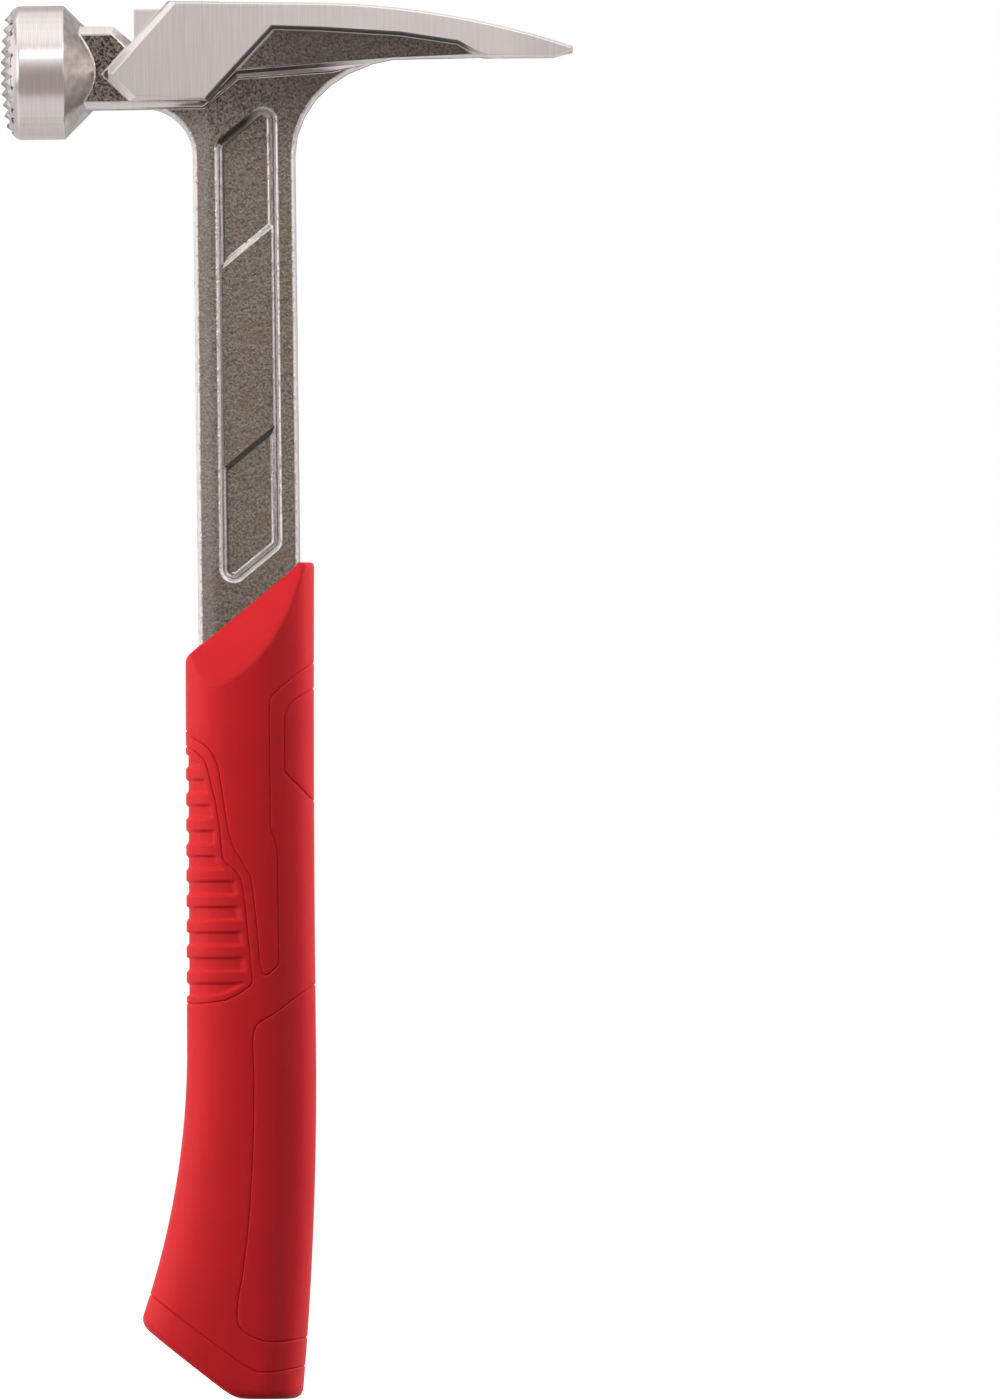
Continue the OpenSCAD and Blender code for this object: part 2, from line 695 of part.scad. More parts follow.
module palm_pad() {
    color("#b81c26") on_shaft() panel(palm_share);
}

module butt_cap() {
    color("#c4202b") on_shaft() difference() {
        grip_body(0);
        above_cap(0);
    }
}

forging();
nail_magnet();
grip_core();
grip_collar();
grip_sleeve();
finger_pad();
thumb_pad();
palm_pad();
butt_cap();
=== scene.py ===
"""Looks of a forged framing hammer with a milled face and a moulded red grip.

The steel is a merged copy of the forging with softened edges. The grip is one skin: a superellipse
section carried up the handle, with the moulded pieces cut apart along fine grooves and ribs sunk under
the fingers. Lengths are worked out in millimetres until a mesh, a node or a lamp takes them in metres.
X is measured from the middle of the shaft.
"""

import math
from types import SimpleNamespace

import bmesh
import bpy
import numpy as np
from mathutils import Matrix, Vector
from mathutils.geometry import delaunay_2d_cdt

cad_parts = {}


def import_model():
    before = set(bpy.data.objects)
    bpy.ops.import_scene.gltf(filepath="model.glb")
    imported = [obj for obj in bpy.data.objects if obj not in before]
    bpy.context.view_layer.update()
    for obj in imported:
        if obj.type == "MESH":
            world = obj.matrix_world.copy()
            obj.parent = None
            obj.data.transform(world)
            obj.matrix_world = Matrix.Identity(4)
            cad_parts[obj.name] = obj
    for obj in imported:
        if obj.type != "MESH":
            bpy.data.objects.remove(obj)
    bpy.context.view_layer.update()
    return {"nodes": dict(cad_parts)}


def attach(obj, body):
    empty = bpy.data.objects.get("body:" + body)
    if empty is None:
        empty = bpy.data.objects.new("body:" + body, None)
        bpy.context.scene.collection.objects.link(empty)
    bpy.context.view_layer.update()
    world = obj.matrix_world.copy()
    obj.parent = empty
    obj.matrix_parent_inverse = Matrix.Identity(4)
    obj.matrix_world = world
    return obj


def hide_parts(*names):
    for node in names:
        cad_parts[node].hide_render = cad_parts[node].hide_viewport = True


bl_info = {
    "name": "Framing hammer looks",
    "version": (1, 0, 0),
    "blender": (4, 5, 0),
    "location": "3D View > Sidebar > Hammer",
    "description": "Forged steel and moulded grip for a framing hammer, with its studio",
    "category": "Object",
}

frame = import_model()
MM = 0.001
SHAFT_X = -11.85
MERGE = 0.002 * MM  # points nearer than this are one point

# Levels of the forging's faces off its middle plane, in millimetres
FLOOR_Y, PAD_Y, SHAFT_Y, LEDGE_Y, BODY_Y, CHEEK_Y = 4.25, 5.15, 6.75, 7.0, 10.0, 12.0
# The forging's edges: sharper ones are softened, flatter ones dissolved, and how near its corners are found
SHARP, FLAT, CORNER_REACH = math.radians(20), math.radians(0.4), 0.8

# The table of the grip's skin: how far it goes past the grip, its row height, and its points round a half
PAST_BUTT, PAST_TOP, ROW, ARC_POINTS, SHARE_POINTS = 8.0, 9.0, 0.5, 1441, 601
# Powers of the superellipse at the front and the rear
FRONT_POWER, REAR_POWER = 2.7, 2.1
# The moulded pieces' outlines: reach of their corners, step, and how far they run past the middle plane
LINE_CORNER, LINE_STEP, LINE_PAST = 1.2, 0.5, 3.0
# Steps of the skin's mesh: along its edges, round and up its field, and round and up the ribs
EDGE_STEP, FIELD_STEP, RIB_STEP = 0.7, (1.1, 0.95), (0.7, 0.28)
# Lengths of a rib recess's fall at its top, climb at its foot, and run-out at its ends
RIB_FALL, RIB_CLIMB, RIB_END = 0.5, 1.0, 0.6
# Half sizes of the hole round the shaft, and how softly the butt turns from level to slanted
HOLE_X, HOLE_Y, BUTT_TURN = 13.8, 6.6, 1.8

# The photograph: its height in pixels and its scale, what its middle looks at, and the hammer's lean in it
PHOTO_HEIGHT, MM_PER_PIXEL = 1399, 0.27265
PHOTO_X, PHOTO_Z, PHOTO_LEAN = 67.96, 189.79, math.radians(0.692)
CAMERA_AWAY, SENSOR = 7.0, 36.0

# Outlines of the moulded pieces as seen from the side, on the near half of the grip: [x, z]
COLLAR_LINE = [
    (-18.4, 183.0), (-15.9, 180.3), (-14.0, 179.2), (-11.8, 177.8), (-9.9, 175.0), (-8.9, 172.0),
    (-8.1, 166.8), (-7.4, 161.4), (-6.4, 154.6), (-5.8, 152.4), (-4.8, 149.6), (-2.9, 146.9),
    (-1.6, 144.1), (-0.5, 142.8), (0.0, 139.2), (0.5, 134.6), (1.1, 127.7), (1.7, 119.5),
    (2.3, 116.0), (3.3, 115.2), (7.0, 118.2), (6.9, 149.5), (6.2, 152.2), (5.1, 155.5),
    (5.2, 187.7), (5.5, 191.2), (7.7, 193.1), (12.7, 197.4), (16.0, 199.5), (18.4, 201.2),
]
FINGER_LINE = [
    (-18.6, 178.6), (-14.6, 176.0), (-12.7, 174.3), (-11.6, 170.7), (-10.7, 166.1), (-9.8, 163.3),
    (-8.8, 155.9), (-8.1, 147.8), (-7.5, 146.4), (-3.8, 143.3), (-2.9, 140.9), (-2.0, 134.6),
    (-1.5, 127.8), (-0.8, 120.4), (-0.3, 113.1), (-3.4, 110.8), (-7.5, 108.8), (-12.7, 108.1),
    (-19.0, 107.9),
]
THUMB_LINE = [
    (18.6, 194.4), (15.6, 192.5), (11.2, 189.8), (9.3, 186.6), (9.0, 170.7), (11.0, 168.8),
    (15.3, 164.4), (18.6, 161.0),
]
PALM_LINE = [
    (18.4, 114.1), (16.3, 112.6), (10.3, 108.5), (5.6, 105.0), (0.9, 102.4), (-0.2, 100.0),
    (-0.5, 97.0), (-0.2, 88.2), (-0.4, 76.0), (-0.9, 64.5), (-1.7, 52.8), (-2.6, 44.1), (-4.0, 33.7),
    (-5.2, 27.7), (-5.7, 21.5), (-4.7, 19.4), (-2.3, 17.4), (1.8, 15.9), (5.9, 15.6), (12.4, 16.5),
    (16.0, 16.9),
]
BUTT_LINE = [
    (-33.0, 31.6), (-28.1, 28.0), (-20.0, 21.6), (-13.2, 16.4), (-6.5, 11.3), (-2.4, 8.5),
    (-0.2, 7.5), (4.4, 7.5), (12.3, 8.8), (16.0, 9.4),
]

# Corners of cheek, claw band, ledge and pad, and how far they sit from the part's: x, z, from y, to y, dx, dz
CORNER_SHIFTS = [
    (7.12, 374.35, 9.9, 12.1, 1.1, -1.04), (-1.76, 362.39, 11.9, 12.1, -1.2, 0.0),
    (-1.0, 361.6, 9.9, 10.1, -0.4, 0.6), (-8.87, 354.17, 9.9, 12.1, -1.1, -0.2),
    (21.08, 373.85, 9.9, 12.1, 0.0, -1.09), (42.98, 372.25, 9.9, 12.1, 0.0, -1.09),
    (59.34, 369.63, 9.9, 12.1, -0.8, -1.0), (66.1, 366.95, 9.8, 12.1, -2.9, -1.0),
    (71.38, 364.9, 9.9, 12.1, -5.3, 0.0), (70.14, 364.89, 6.9, 7.1, -5.0, 0.0),
    (23.81, 362.99, 9.9, 10.1, 0.0, 0.87), (40.78, 366.34, 9.9, 10.1, 0.0, -1.55),
    (-6.29, 254.29, 5.1, 5.3, 0.0, -0.15), (7.49, 265.45, 5.1, 5.3, 0.0, -0.15),
    (-5.4, 254.36, 4.2, 4.3, 0.0, -1.4), (6.6, 264.08, 4.2, 4.3, 0.0, -1.4),
    (-6.29, 308.99, 5.1, 5.3, 0.0, -0.65), (7.49, 320.15, 5.1, 5.3, 0.0, -0.65),
]


def linear(hex_colour):
    """An sRGB hex colour as linear RGBA."""
    c = np.array([int(hex_colour[i:i + 2], 16) for i in (1, 3, 5)]) / 255
    return (*np.where(c <= 0.04045, c / 12.92, ((c + 0.055) / 1.055) ** 2.4).tolist(), 1.0)


class HammerGripSizes(bpy.types.PropertyGroup):
    """Sizes of the moulded grip, as the part's source has them"""

    grip_h: bpy.props.FloatProperty(
        name="Grip height", description="Top of the grip above the butt", default=227.8 * MM, unit="LENGTH")
    grip_t: bpy.props.FloatProperty(
        name="Grip thickness", description="Thickness across the grip", default=26.6 * MM, unit="LENGTH")
    front_top: bpy.props.FloatProperty(
        name="Front reach, top", description="Front reach at the top", default=17.4 * MM, unit="LENGTH")
    front_low: bpy.props.FloatProperty(
        name="Front reach, low", description="Front reach over the flare", default=18.5 * MM, unit="LENGTH")
    rear_top: bpy.props.FloatProperty(
        name="Rear reach, top", description="Rear reach at the top", default=17.75 * MM, unit="LENGTH")
    rear_low: bpy.props.FloatProperty(
        name="Rear reach, low", description="Rear reach over the flare", default=16.7 * MM, unit="LENGTH")
    flare_z: bpy.props.FloatProperty(
        name="Flare height", description="Height where the flare starts", default=98.0 * MM, unit="LENGTH")
    flare_r: bpy.props.FloatProperty(
        name="Flare radius", description="Radius of the front's flare", default=225.0 * MM, unit="LENGTH")
    rear_r: bpy.props.FloatProperty(
        name="Rear radius", description="Radius of the rear's curve", default=1000.0 * MM, unit="LENGTH")
    lip_x: bpy.props.FloatProperty(
        name="Lip X", description="A point of the slanted top, across", default=-12.8 * MM, unit="LENGTH")
    lip_z: bpy.props.FloatProperty(
        name="Lip Z", description="A point of the slanted top, height", default=206.2 * MM, unit="LENGTH")
    lip_angle: bpy.props.FloatProperty(
        name="Lip angle", description="Slope of the top's bevels", subtype="ANGLE",
        default=math.radians(27.8))
    slash_angle: bpy.props.FloatProperty(
        name="Slash angle", description="Slope of the slanted lines", subtype="ANGLE",
        default=math.radians(39))
    butt_toe: bpy.props.FloatProperty(
        name="Butt toe", description="Where the slanted end turns level", default=6.6 * MM, unit="LENGTH")
    top_round: bpy.props.FloatProperty(
        name="Top rounding", description="Rounding of the top's edge", default=1.3 * MM, unit="LENGTH")
    butt_round: bpy.props.FloatProperty(
        name="Butt rounding", description="Rounding of the butt's edge", default=2.8 * MM, unit="LENGTH")
    groove_w: bpy.props.FloatProperty(
        name="Groove width", description="Width of the grooves", default=0.18 * MM, unit="LENGTH")
    groove_d: bpy.props.FloatProperty(
        name="Groove depth", description="Depth of the grooves", default=0.3 * MM, unit="LENGTH")
    groove_edge: bpy.props.FloatProperty(
        name="Groove edge", description="Rounding beside the grooves", default=0.32 * MM, unit="LENGTH")
    rib_top: bpy.props.FloatProperty(
        name="First rib", description="Top of the first rib recess", default=176.1 * MM, unit="LENGTH")
    rib_pitch: bpy.props.FloatProperty(
        name="Rib pitch", description="Distance from rib to rib", default=6.93 * MM, unit="LENGTH")
    rib_gap: bpy.props.FloatProperty(
        name="Rib recess", description="Height of a rib recess", default=4.3 * MM, unit="LENGTH")
    rib_depth: bpy.props.FloatProperty(
        name="Rib depth", description="Depth of a rib recess", default=0.7 * MM, unit="LENGTH")
    rib_border: bpy.props.FloatProperty(
        name="Rib border", description="Plain border round the ribs", default=1.7 * MM, unit="LENGTH")
    rib_count: bpy.props.IntProperty(name="Ribs", description="Number of rib recesses", default=10)
    skin_t: bpy.props.FloatProperty(
        name="Skin", description="Thickness of the moulded pieces", default=1.6 * MM, unit="LENGTH")


class HammerSteelSizes(bpy.types.PropertyGroup):
    """Sizes of the finish on the forging"""

    edge_round: bpy.props.FloatProperty(
        name="Edge rounding", description="Softening of the edges", default=0.36 * MM, unit="LENGTH")
    ground_y: bpy.props.FloatProperty(
        name="Ground level", description="Half thickness that is ground", default=10.06 * MM, unit="LENGTH")
    neck_top: bpy.props.FloatProperty(
        name="Neck top", description="Height above which all is ground", default=371.9 * MM, unit="LENGTH")
    poll_rear: bpy.props.FloatProperty(
        name="Poll rear", description="X of the poll's rear edge", default=-60.6 * MM, unit="LENGTH")


class HammerColours(bpy.types.PropertyGroup):
    """Colours of the steel, the rubber and what they hold"""

    rubber: bpy.props.FloatVectorProperty(
        name="Rubber", description="Red of the moulded grip", size=4, subtype="COLOR",
        default=linear("#DC2128"))
    rubber_deep: bpy.props.FloatVectorProperty(
        name="Rubber, deep", description="Deeper red in its tone", size=4, subtype="COLOR",
        default=linear("#D61F26"))
    panel_deep: bpy.props.FloatVectorProperty(
        name="Panels, deep", description="Deeper red in the panels' tone", size=4, subtype="COLOR",
        default=linear("#D51F26"))
    scale_pale: bpy.props.FloatVectorProperty(
        name="Scale, pale", description="Pale grains of the forge scale", size=4, subtype="COLOR",
        default=linear("#9A9087"))
    scale_grey: bpy.props.FloatVectorProperty(
        name="Scale, grey", description="Grey ground of the forge scale", size=4, subtype="COLOR",
        default=linear("#5F564E"))
    scale_brown: bpy.props.FloatVectorProperty(
        name="Scale, brown", description="Brown tints in the forge scale", size=4, subtype="COLOR",
        default=linear("#80705F"))
    # Dark scale colour, which also carries the painted shade in the recess and the darkening towards the grip
    scale_dark_and_painted_shade: bpy.props.FloatVectorProperty(
        name="Scale, thick", description="Thick dark scale at the foot of the walls", size=4, subtype="COLOR",
        default=linear("#241F1B"))
    ground_pale: bpy.props.FloatVectorProperty(
        name="Ground steel, pale", description="Pale lines of the ground steel", size=4, subtype="COLOR",
        default=linear("#E4DDDB"))
    ground_grey: bpy.props.FloatVectorProperty(
        name="Ground steel, grey", description="Grey lines of the ground steel", size=4, subtype="COLOR",
        default=linear("#D2CAC8"))
    nickel: bpy.props.FloatVectorProperty(
        name="Magnet", description="Nickel plating of the magnet", size=4, subtype="COLOR",
        default=linear("#D9D5CC"))
    nylon: bpy.props.FloatVectorProperty(
        name="Core", description="Nylon of the inner core", size=4, subtype="COLOR",
        default=linear("#1C1C1E"))


def in_millimetres(group):
    """A group's sizes as plain values, with its lengths turned from metres into millimetres."""
    sizes = {}
    for name, size in group.bl_rna.properties.items():
        if size.type in ("FLOAT", "INT"):
            value = getattr(group, name)
            sizes[name] = round(value / MM, 4) if size.type == "FLOAT" and size.unit == "LENGTH" else value
    return SimpleNamespace(**sizes)


# -------- shape of the grip


def smooth_between(shares, heights, u):
    """Cubic Hermite curve through (shares, heights), with slopes from the neighbours on both sides."""
    slope = np.gradient(heights, shares)
    i = np.clip(np.searchsorted(shares, u) - 1, 0, len(shares) - 2)
    h = shares[i + 1] - shares[i]
    t = np.clip((u - shares[i]) / h, 0, 1)
    return ((2 * t**3 - 3 * t**2 + 1) * heights[i] + (t**3 - 2 * t**2 + t) * h * slope[i]
            + (3 * t**2 - 2 * t**3) * heights[i + 1] + (t**3 - t**2) * h * slope[i + 1])


def reaches(g, z):
    """Front reach, rear reach and half thickness at height z.

    Above the flare the reaches change linearly at the front and with the square at the rear. Below it the
    front swings out and the rear swings in on circles. The half thickness follows shares of the grip's.
    """
    rise = np.clip((z - g.flare_z) / (g.grip_h - g.flare_z), 0, None)
    low = np.clip(g.flare_z - z, 0, None)
    front = g.front_low + (g.front_top - g.front_low) * rise + g.flare_r - np.sqrt(g.flare_r**2 - low**2)
    rear = g.rear_low + (g.rear_top - g.rear_low) * rise**2 - g.rear_r + np.sqrt(g.rear_r**2 - low**2)
    shares = np.array([-0.1, 0, 0.12, 0.3, 0.5, 0.8, 1.05])
    halves = np.array([0.53, 0.53, 0.525, 0.49, 0.485, 0.5, 0.505])
    return front, rear, g.grip_t * smooth_between(shares, halves, z / g.grip_h)


class GripSkin:
    """The grip's surface as x and y over (s, z): s runs from the front's middle, 0, to the rear's middle, 1.

    The half section is |x / reach|^p + |y / half|^p = 1, and s is its share of arc length, so that
    patterns keep their size round the section.
    """

    def __init__(self, g):
        self.z = np.arange(-PAST_BUTT, g.grip_h + PAST_TOP, ROW)
        front, rear, half = (v[:, None] for v in reaches(g, self.z))
        t = np.linspace(0, math.pi, ARC_POINTS)[None, :]
        c, power = np.cos(t), np.where(np.cos(t) > 0, FRONT_POWER, REAR_POWER)
        bulge = np.sign(c) * np.abs(c) ** (2 / power)
        x = -np.where(c > 0, front, rear) * bulge
        y = -half * np.abs(np.sin(t)) ** (2 / power)
        step = np.hypot(np.diff(x, axis=1), np.diff(y, axis=1))
        length = np.concatenate([np.zeros((len(self.z), 1)), np.cumsum(step, axis=1)], axis=1)
        self.half_girth = length[:, -1]
        s = np.linspace(0, 1, SHARE_POINTS)
        self.x = np.array([np.interp(s * l[-1], l, row) for l, row in zip(length, x)])
        self.y = np.array([np.interp(s * l[-1], l, row) for l, row in zip(length, y)])
        self.y[:, [0, -1]] = 0

    def girth(self, z):
        """Length of the half section at height z, read between the table's rows."""
        return np.interp(z, self.z, self.half_girth)

    def at(self, s, z):
        """Points for any s: past 0 and 1 the surface goes on round the far side."""
        far = np.where((s < 0) | (s > 1), -1.0, 1.0)
        s = np.where(s < 0, -s, np.where(s > 1, 2 - s, s))
        i = np.clip((z - self.z[0]) / ROW, 0, len(self.z) - 1.001)
        j = np.clip(s * (self.x.shape[1] - 1), 0, self.x.shape[1] - 1.001)
        i0, j0 = i.astype(int), j.astype(int)
        u, v = i - i0, j - j0
        out = [(m[i0, j0] * (1 - v) + m[i0, j0 + 1] * v) * (1 - u)
               + (m[i0 + 1, j0] * (1 - v) + m[i0 + 1, j0 + 1] * v) * u for m in (self.x, self.y)]
        return np.stack([out[0], out[1] * far, z], axis=-1)

    def normal(self, s, z):
        """Outward normal, from the differences of the surface over small steps of s and z."""
        n = np.cross(self.at(s + 0.008, z) - self.at(s - 0.008, z), self.at(s, z + 0.6) - self.at(s, z - 0.6))
        return n / np.linalg.norm(n, axis=-1, keepdims=True)

    def share(self, x, z):
        """The s at which the near side has a given x."""
        i = np.clip((z - self.z[0]) / ROW, 0, len(self.z) - 1.001)
        i0 = i.astype(int)
        u = (i - i0)[:, None]
        row = self.x[i0] * (1 - u) + self.x[i0 + 1] * u
        j = np.clip((row < x[:, None]).sum(axis=1), 1, row.shape[1] - 1)
        k = np.arange(len(x))
        a, b = row[k, j - 1], row[k, j]
        return np.clip((j - 1 + np.clip((x - a) / np.maximum(b - a, 1e-9), 0, 1)) / (row.shape[1] - 1), 0, 1)


def rounded_path(points, radius, step):
    """A path with each corner cut by a parabola of the radius's reach, in even steps."""
    p = np.array(points, float)
    out = [p[:1]]
    t = np.linspace(0, 1, 7)[:, None]
    for a, b, c in zip(p[:-2], p[1:-1], p[2:]):
        la, lc = np.linalg.norm(a - b), np.linalg.norm(c - b)
        start, end = b + (a - b) * min(radius, la * 0.45) / la, b + (c - b) * min(radius, lc * 0.45) / lc
        out.append((1 - t) ** 2 * start + 2 * t * (1 - t) * b + t**2 * end)
    p = np.concatenate(out + [p[-1:]])
    length = np.concatenate([[0], np.cumsum(np.linalg.norm(np.diff(p, axis=0), axis=1))])
    even = np.linspace(0, length[-1], int(length[-1] / step) + 2)
    return np.stack([np.interp(even, length, p[:, 0]), np.interp(even, length, p[:, 1])], axis=1)


def laid_on(skin, line):
    """A side-view line laid on the skin, as (distance round from the front's middle, height)."""
    p = rounded_path(line, LINE_CORNER, LINE_STEP)
    s = skin.share(p[:, 0], p[:, 1])
    keep = (s > 0.0005) & (s < 0.9995)
    p, s = p[keep], s[keep]
    path = np.stack([s * skin.girth(p[:, 1]), p[:, 1]], axis=1)
    ends = []
    for q in (path[0], path[-1]):
        girth = float(skin.girth(q[1]))
        ends.append((-LINE_PAST if q[0] < girth / 2 else girth + LINE_PAST, q[1]))
    return np.concatenate([[ends[0]], path, [ends[1]]])


def beside(path, d):
    """The path moved sideways by d, to its left."""
    t = np.gradient(path, axis=0)
    t /= np.linalg.norm(t, axis=1, keepdims=True)
    return path + d * np.stack([-t[:, 1], t[:, 0]], axis=1)


def distance_to(path, points):
    """Distance from each point to the nearest part of a path."""
    a, d = path[:-1], np.diff(path, axis=0)
    dd = (d**2).sum(axis=1)
    best = np.empty(len(points))
    for k in range(0, len(points), 4000):
        q = points[k:k + 4000, None, :] - a
        t = np.clip((q * d).sum(axis=2) / dd, 0, 1)
        best[k:k + 4000] = np.sqrt((((q - t[:, :, None] * d) ** 2).sum(axis=2)).min(axis=1))
    return best


def inside(polygon, points):
    """Even-odd test of points against a closed outline."""
    a, b = polygon, np.roll(polygon, -1, axis=0)
    hit = np.zeros(len(points), bool)
    for (x0, y0), (x1, y1) in zip(a, b):
        crosses = (y0 > points[:, 1]) != (y1 > points[:, 1])
        at = x0 + (points[:, 1] - y0) * (x1 - x0) / (y1 - y0 if y1 != y0 else 1)
        hit ^= crosses & (points[:, 0] < at)
    return hit


def lip_height(g, x, y):
    """Height of the slanted top: a line along X that falls away on both sides of the shaft's thickness."""
    line = g.lip_z + (x - g.lip_x) * math.tan(g.slash_angle)
    fall = np.clip(np.abs(y) - SHAFT_Y, 0, None) / (math.tan(g.lip_angle) * math.cos(g.slash_angle))
    return np.minimum(line - fall, g.grip_h)


def butt_height(g, x, y):
    """Height of the butt: level at the rear and slanted at the front, with a soft turn between them."""
    lift = (-g.butt_toe - x) * math.tan(g.slash_angle)
    return 0.5 * (lift + np.sqrt(lift**2 + BUTT_TURN**2))


def cut_edge(skin, g, s, height, low, high):
    """Height of the skin's edge on a cutting surface, by bisection."""
    lo, hi = np.full_like(s, low), np.full_like(s, high)
    for _ in range(40):
        z = (lo + hi) / 2
        p = skin.at(s, z)
        above = z > height(g, p[:, 0], p[:, 1])
        lo, hi = np.where(above, lo, z), np.where(above, z, hi)
    return (lo + hi) / 2


def end_cap(skin, g, s, edge, side, height, inner, run, way):
    """Grid from the skin's edge over its rounding to the inner line of an end surface.

    The rounding is a parabola between a point on the skin and one on the end surface, each a run from the
    edge.
    """
    corner = skin.at(s, edge)
    target = inner(corner)
    flat = target - corner
    flat[:, 2] = 0
    reach = np.linalg.norm(flat, axis=1)
    share = np.clip(run / np.maximum(reach, 1e-6), 0, 0.9)

    def on_end(q):
        p = corner + flat * q[:, None]
        p[:, 2] = height(g, p[:, 0], p[:, 1])
        return p

    start, end = skin.at(s, side), on_end(share)
    rows = [(1 - t) ** 2 * start + 2 * t * (1 - t) * corner + t**2 * end for t in np.linspace(0, 1, 7)]
    rows += [on_end(share + (1 - share) * t) for t in np.linspace(0, 1, 9)[1:]]
    rows = np.stack(rows)
    m, n = rows.shape[:2]
    i = np.arange((m - 1) * n).reshape(m - 1, n)[:, :-1].ravel()
    quads = np.stack([i, i + 1, i + n + 1, i + n], axis=1)
    return rows.reshape(-1, 3), quads if way > 0 else quads[:, ::-1]


def rib_recess(g, z, border):
    """Depth of the recesses between the ribs: a sharp step down at each top and a slope up at its foot."""
    top = (g.rib_top - z) % g.rib_pitch
    number = np.floor((g.rib_top - z) / g.rib_pitch)
    fall = np.clip(top / RIB_FALL, 0, 1)
    climb = np.clip((g.rib_gap - top) / RIB_CLIMB, 0, 1)
    ends = np.clip((border - g.rib_border) / RIB_END, 0, 1)
    soft = [v * v * (3 - 2 * v) for v in (fall, climb, ends)]
    return g.rib_depth * soft[0] * soft[1] * soft[2] * ((number >= 0) & (number < g.rib_count))


def grip_shape(g):
    """Points and faces of the near half of the grip, with the name of the moulded piece that each face is on.

    The skin is unrolled to (distance round, height), meshed between the grooves' lines, and rolled up again.
    """
    skin = GripSkin(g)
    s = np.linspace(0, 1, 121)
    top_edge = cut_edge(skin, g, s, lip_height, 180.0, 229.0)
    low_edge = cut_edge(skin, g, s, butt_height, -6.0, 36.0)
    top, low = top_edge - g.top_round, low_edge + g.butt_round

    lines = {name: laid_on(skin, line) for name, line in (
        ("collar", COLLAR_LINE), ("finger", FINGER_LINE), ("thumb", THUMB_LINE), ("palm", PALM_LINE),
        ("butt", BUTT_LINE))}
    w, e = g.groove_w / 2, g.groove_edge
    rings = [beside(p, d * k) for p in lines.values() for k in (-1, 1)
             for d in (w, w + 0.15 * e, w + 0.5 * e, w + e)] + list(lines.values())

    rim_top = np.stack([s * skin.girth(top), top], axis=1)
    rim_low = np.stack([s * skin.girth(low), low], axis=1)
    seam_z = np.arange(low[-1] + EDGE_STEP, top[-1] - 0.3, EDGE_STEP)
    seam = np.stack([skin.girth(seam_z), seam_z], axis=1)
    front_z = np.arange(low[0] + EDGE_STEP, top[0] - 0.3, EDGE_STEP)
    front = np.stack([np.zeros_like(front_z), front_z], axis=1)
    border = np.concatenate([rim_low, seam, rim_top[::-1], front[::-1]])

    row = np.arange(0, g.grip_h, FIELD_STEP[1])
    across = np.arange(0.4, 62, FIELD_STEP[0])
    aa, zz = np.meshgrid(across, row)
    aa = aa + np.where(np.arange(len(row)) % 2, FIELD_STEP[0] / 2, 0)[:, None]
    coarse = np.stack([aa.ravel(), zz.ravel()], axis=1)
    ribs = np.meshgrid(np.arange(RIB_STEP[0] / 2, 30, RIB_STEP[0]), np.arange(106, 179, RIB_STEP[1]))
    ribs = np.stack(ribs, axis=-1).reshape(-1, 2)
    finger_area = np.concatenate([lines["finger"], [[-9, 100], [-9, 190]]])
    in_finger = inside(finger_area, coarse)
    loose = np.concatenate([coarse[~in_finger], ribs[inside(finger_area, ribs)]])
    near = np.min([distance_to(p, loose) for p in lines.values()], axis=0)
    rim = distance_to(np.vstack([border, border[:1]]), loose)
    loose = loose[(near > w + e + 0.25) & inside(border, loose) & (rim > 0.3)]

    points = [border] + rings
    starts = np.cumsum([0] + [len(p) for p in points])
    edges = [(i, i + 1) for a, b in zip(starts[:-1], starts[1:]) for i in range(a, b - 1)]
    edges.append((len(border) - 1, 0))
    cloud = np.concatenate(points + [loose])
    made = delaunay_2d_cdt([Vector(p) for p in cloud.tolist()], edges, [], 0, 1e-5)
    flat = np.array([v[:] for v in made[0]])
    tris = np.array(made[2])
    middle = flat[tris].mean(axis=1)
    tris = tris[inside(border, middle)]
    middle = flat[tris].mean(axis=1)

    share = np.clip(flat[:, 0] / skin.girth(flat[:, 1]), 0, 1)
    share[flat[:, 0] < 1e-4] = 0
    share[flat[:, 0] > skin.girth(flat[:, 1]) - 1e-3] = 1
    gap = {name: distance_to(p, flat) for name, p in lines.items()}
    nearest = np.min(list(gap.values()), axis=0)
    u = np.clip((nearest - w) / e, 0, 1)
    depth = np.where(nearest < w - 1e-4, g.groove_d, e * (1 - np.sqrt(1 - (1 - u) ** 2)) * 0.9)
    in_finger = inside(finger_area, flat)
    depth = depth + np.where(in_finger, rib_recess(g, flat[:, 1], gap["finger"]), 0)
    verts = skin.at(share, flat[:, 1]) - skin.normal(share, flat[:, 1]) * depth[:, None]
    verts[(share == 0) | (share == 1), 1] = 0

    far = 400.0
    areas = {
        "butt_cap": np.concatenate([lines["butt"], [[far, -far], [-far, -far]]]),
        "grip_collar": np.concatenate([lines["collar"], [[far, 260], [-far, 260]]]),
        "finger_pad": finger_area,
        "thumb_pad": np.concatenate([lines["thumb"], [[far, 150], [far, 205]]]),
        "palm_pad": np.concatenate([lines["palm"], [[far, 10], [far, 130]]]),
    }
    names = np.full(len(tris), "grip_sleeve", dtype=object)
    for name, area in areas.items():
        names[inside(area, middle)] = name

    def to_shaft(p):
        """Points moved to the edge of the hole round the shaft."""
        return np.stack([np.clip(p[:, 0], -HOLE_X, HOLE_X), np.clip(p[:, 1], -HOLE_Y, 0), p[:, 2]], axis=1)

    def to_middle(p):
        """Points moved to a line along X in the butt's middle."""
        return np.stack([np.clip(p[:, 0], -23, 6), np.zeros(len(p)), p[:, 2]], axis=1)

    caps = {
        "grip_collar": end_cap(skin, g, s, top_edge, top, lip_height, to_shaft, g.top_round, 1),
        "butt_cap": end_cap(skin, g, s, low_edge, low, butt_height, to_middle, g.butt_round, -1),
    }
    return verts, tris, names, caps


GRIP = {}


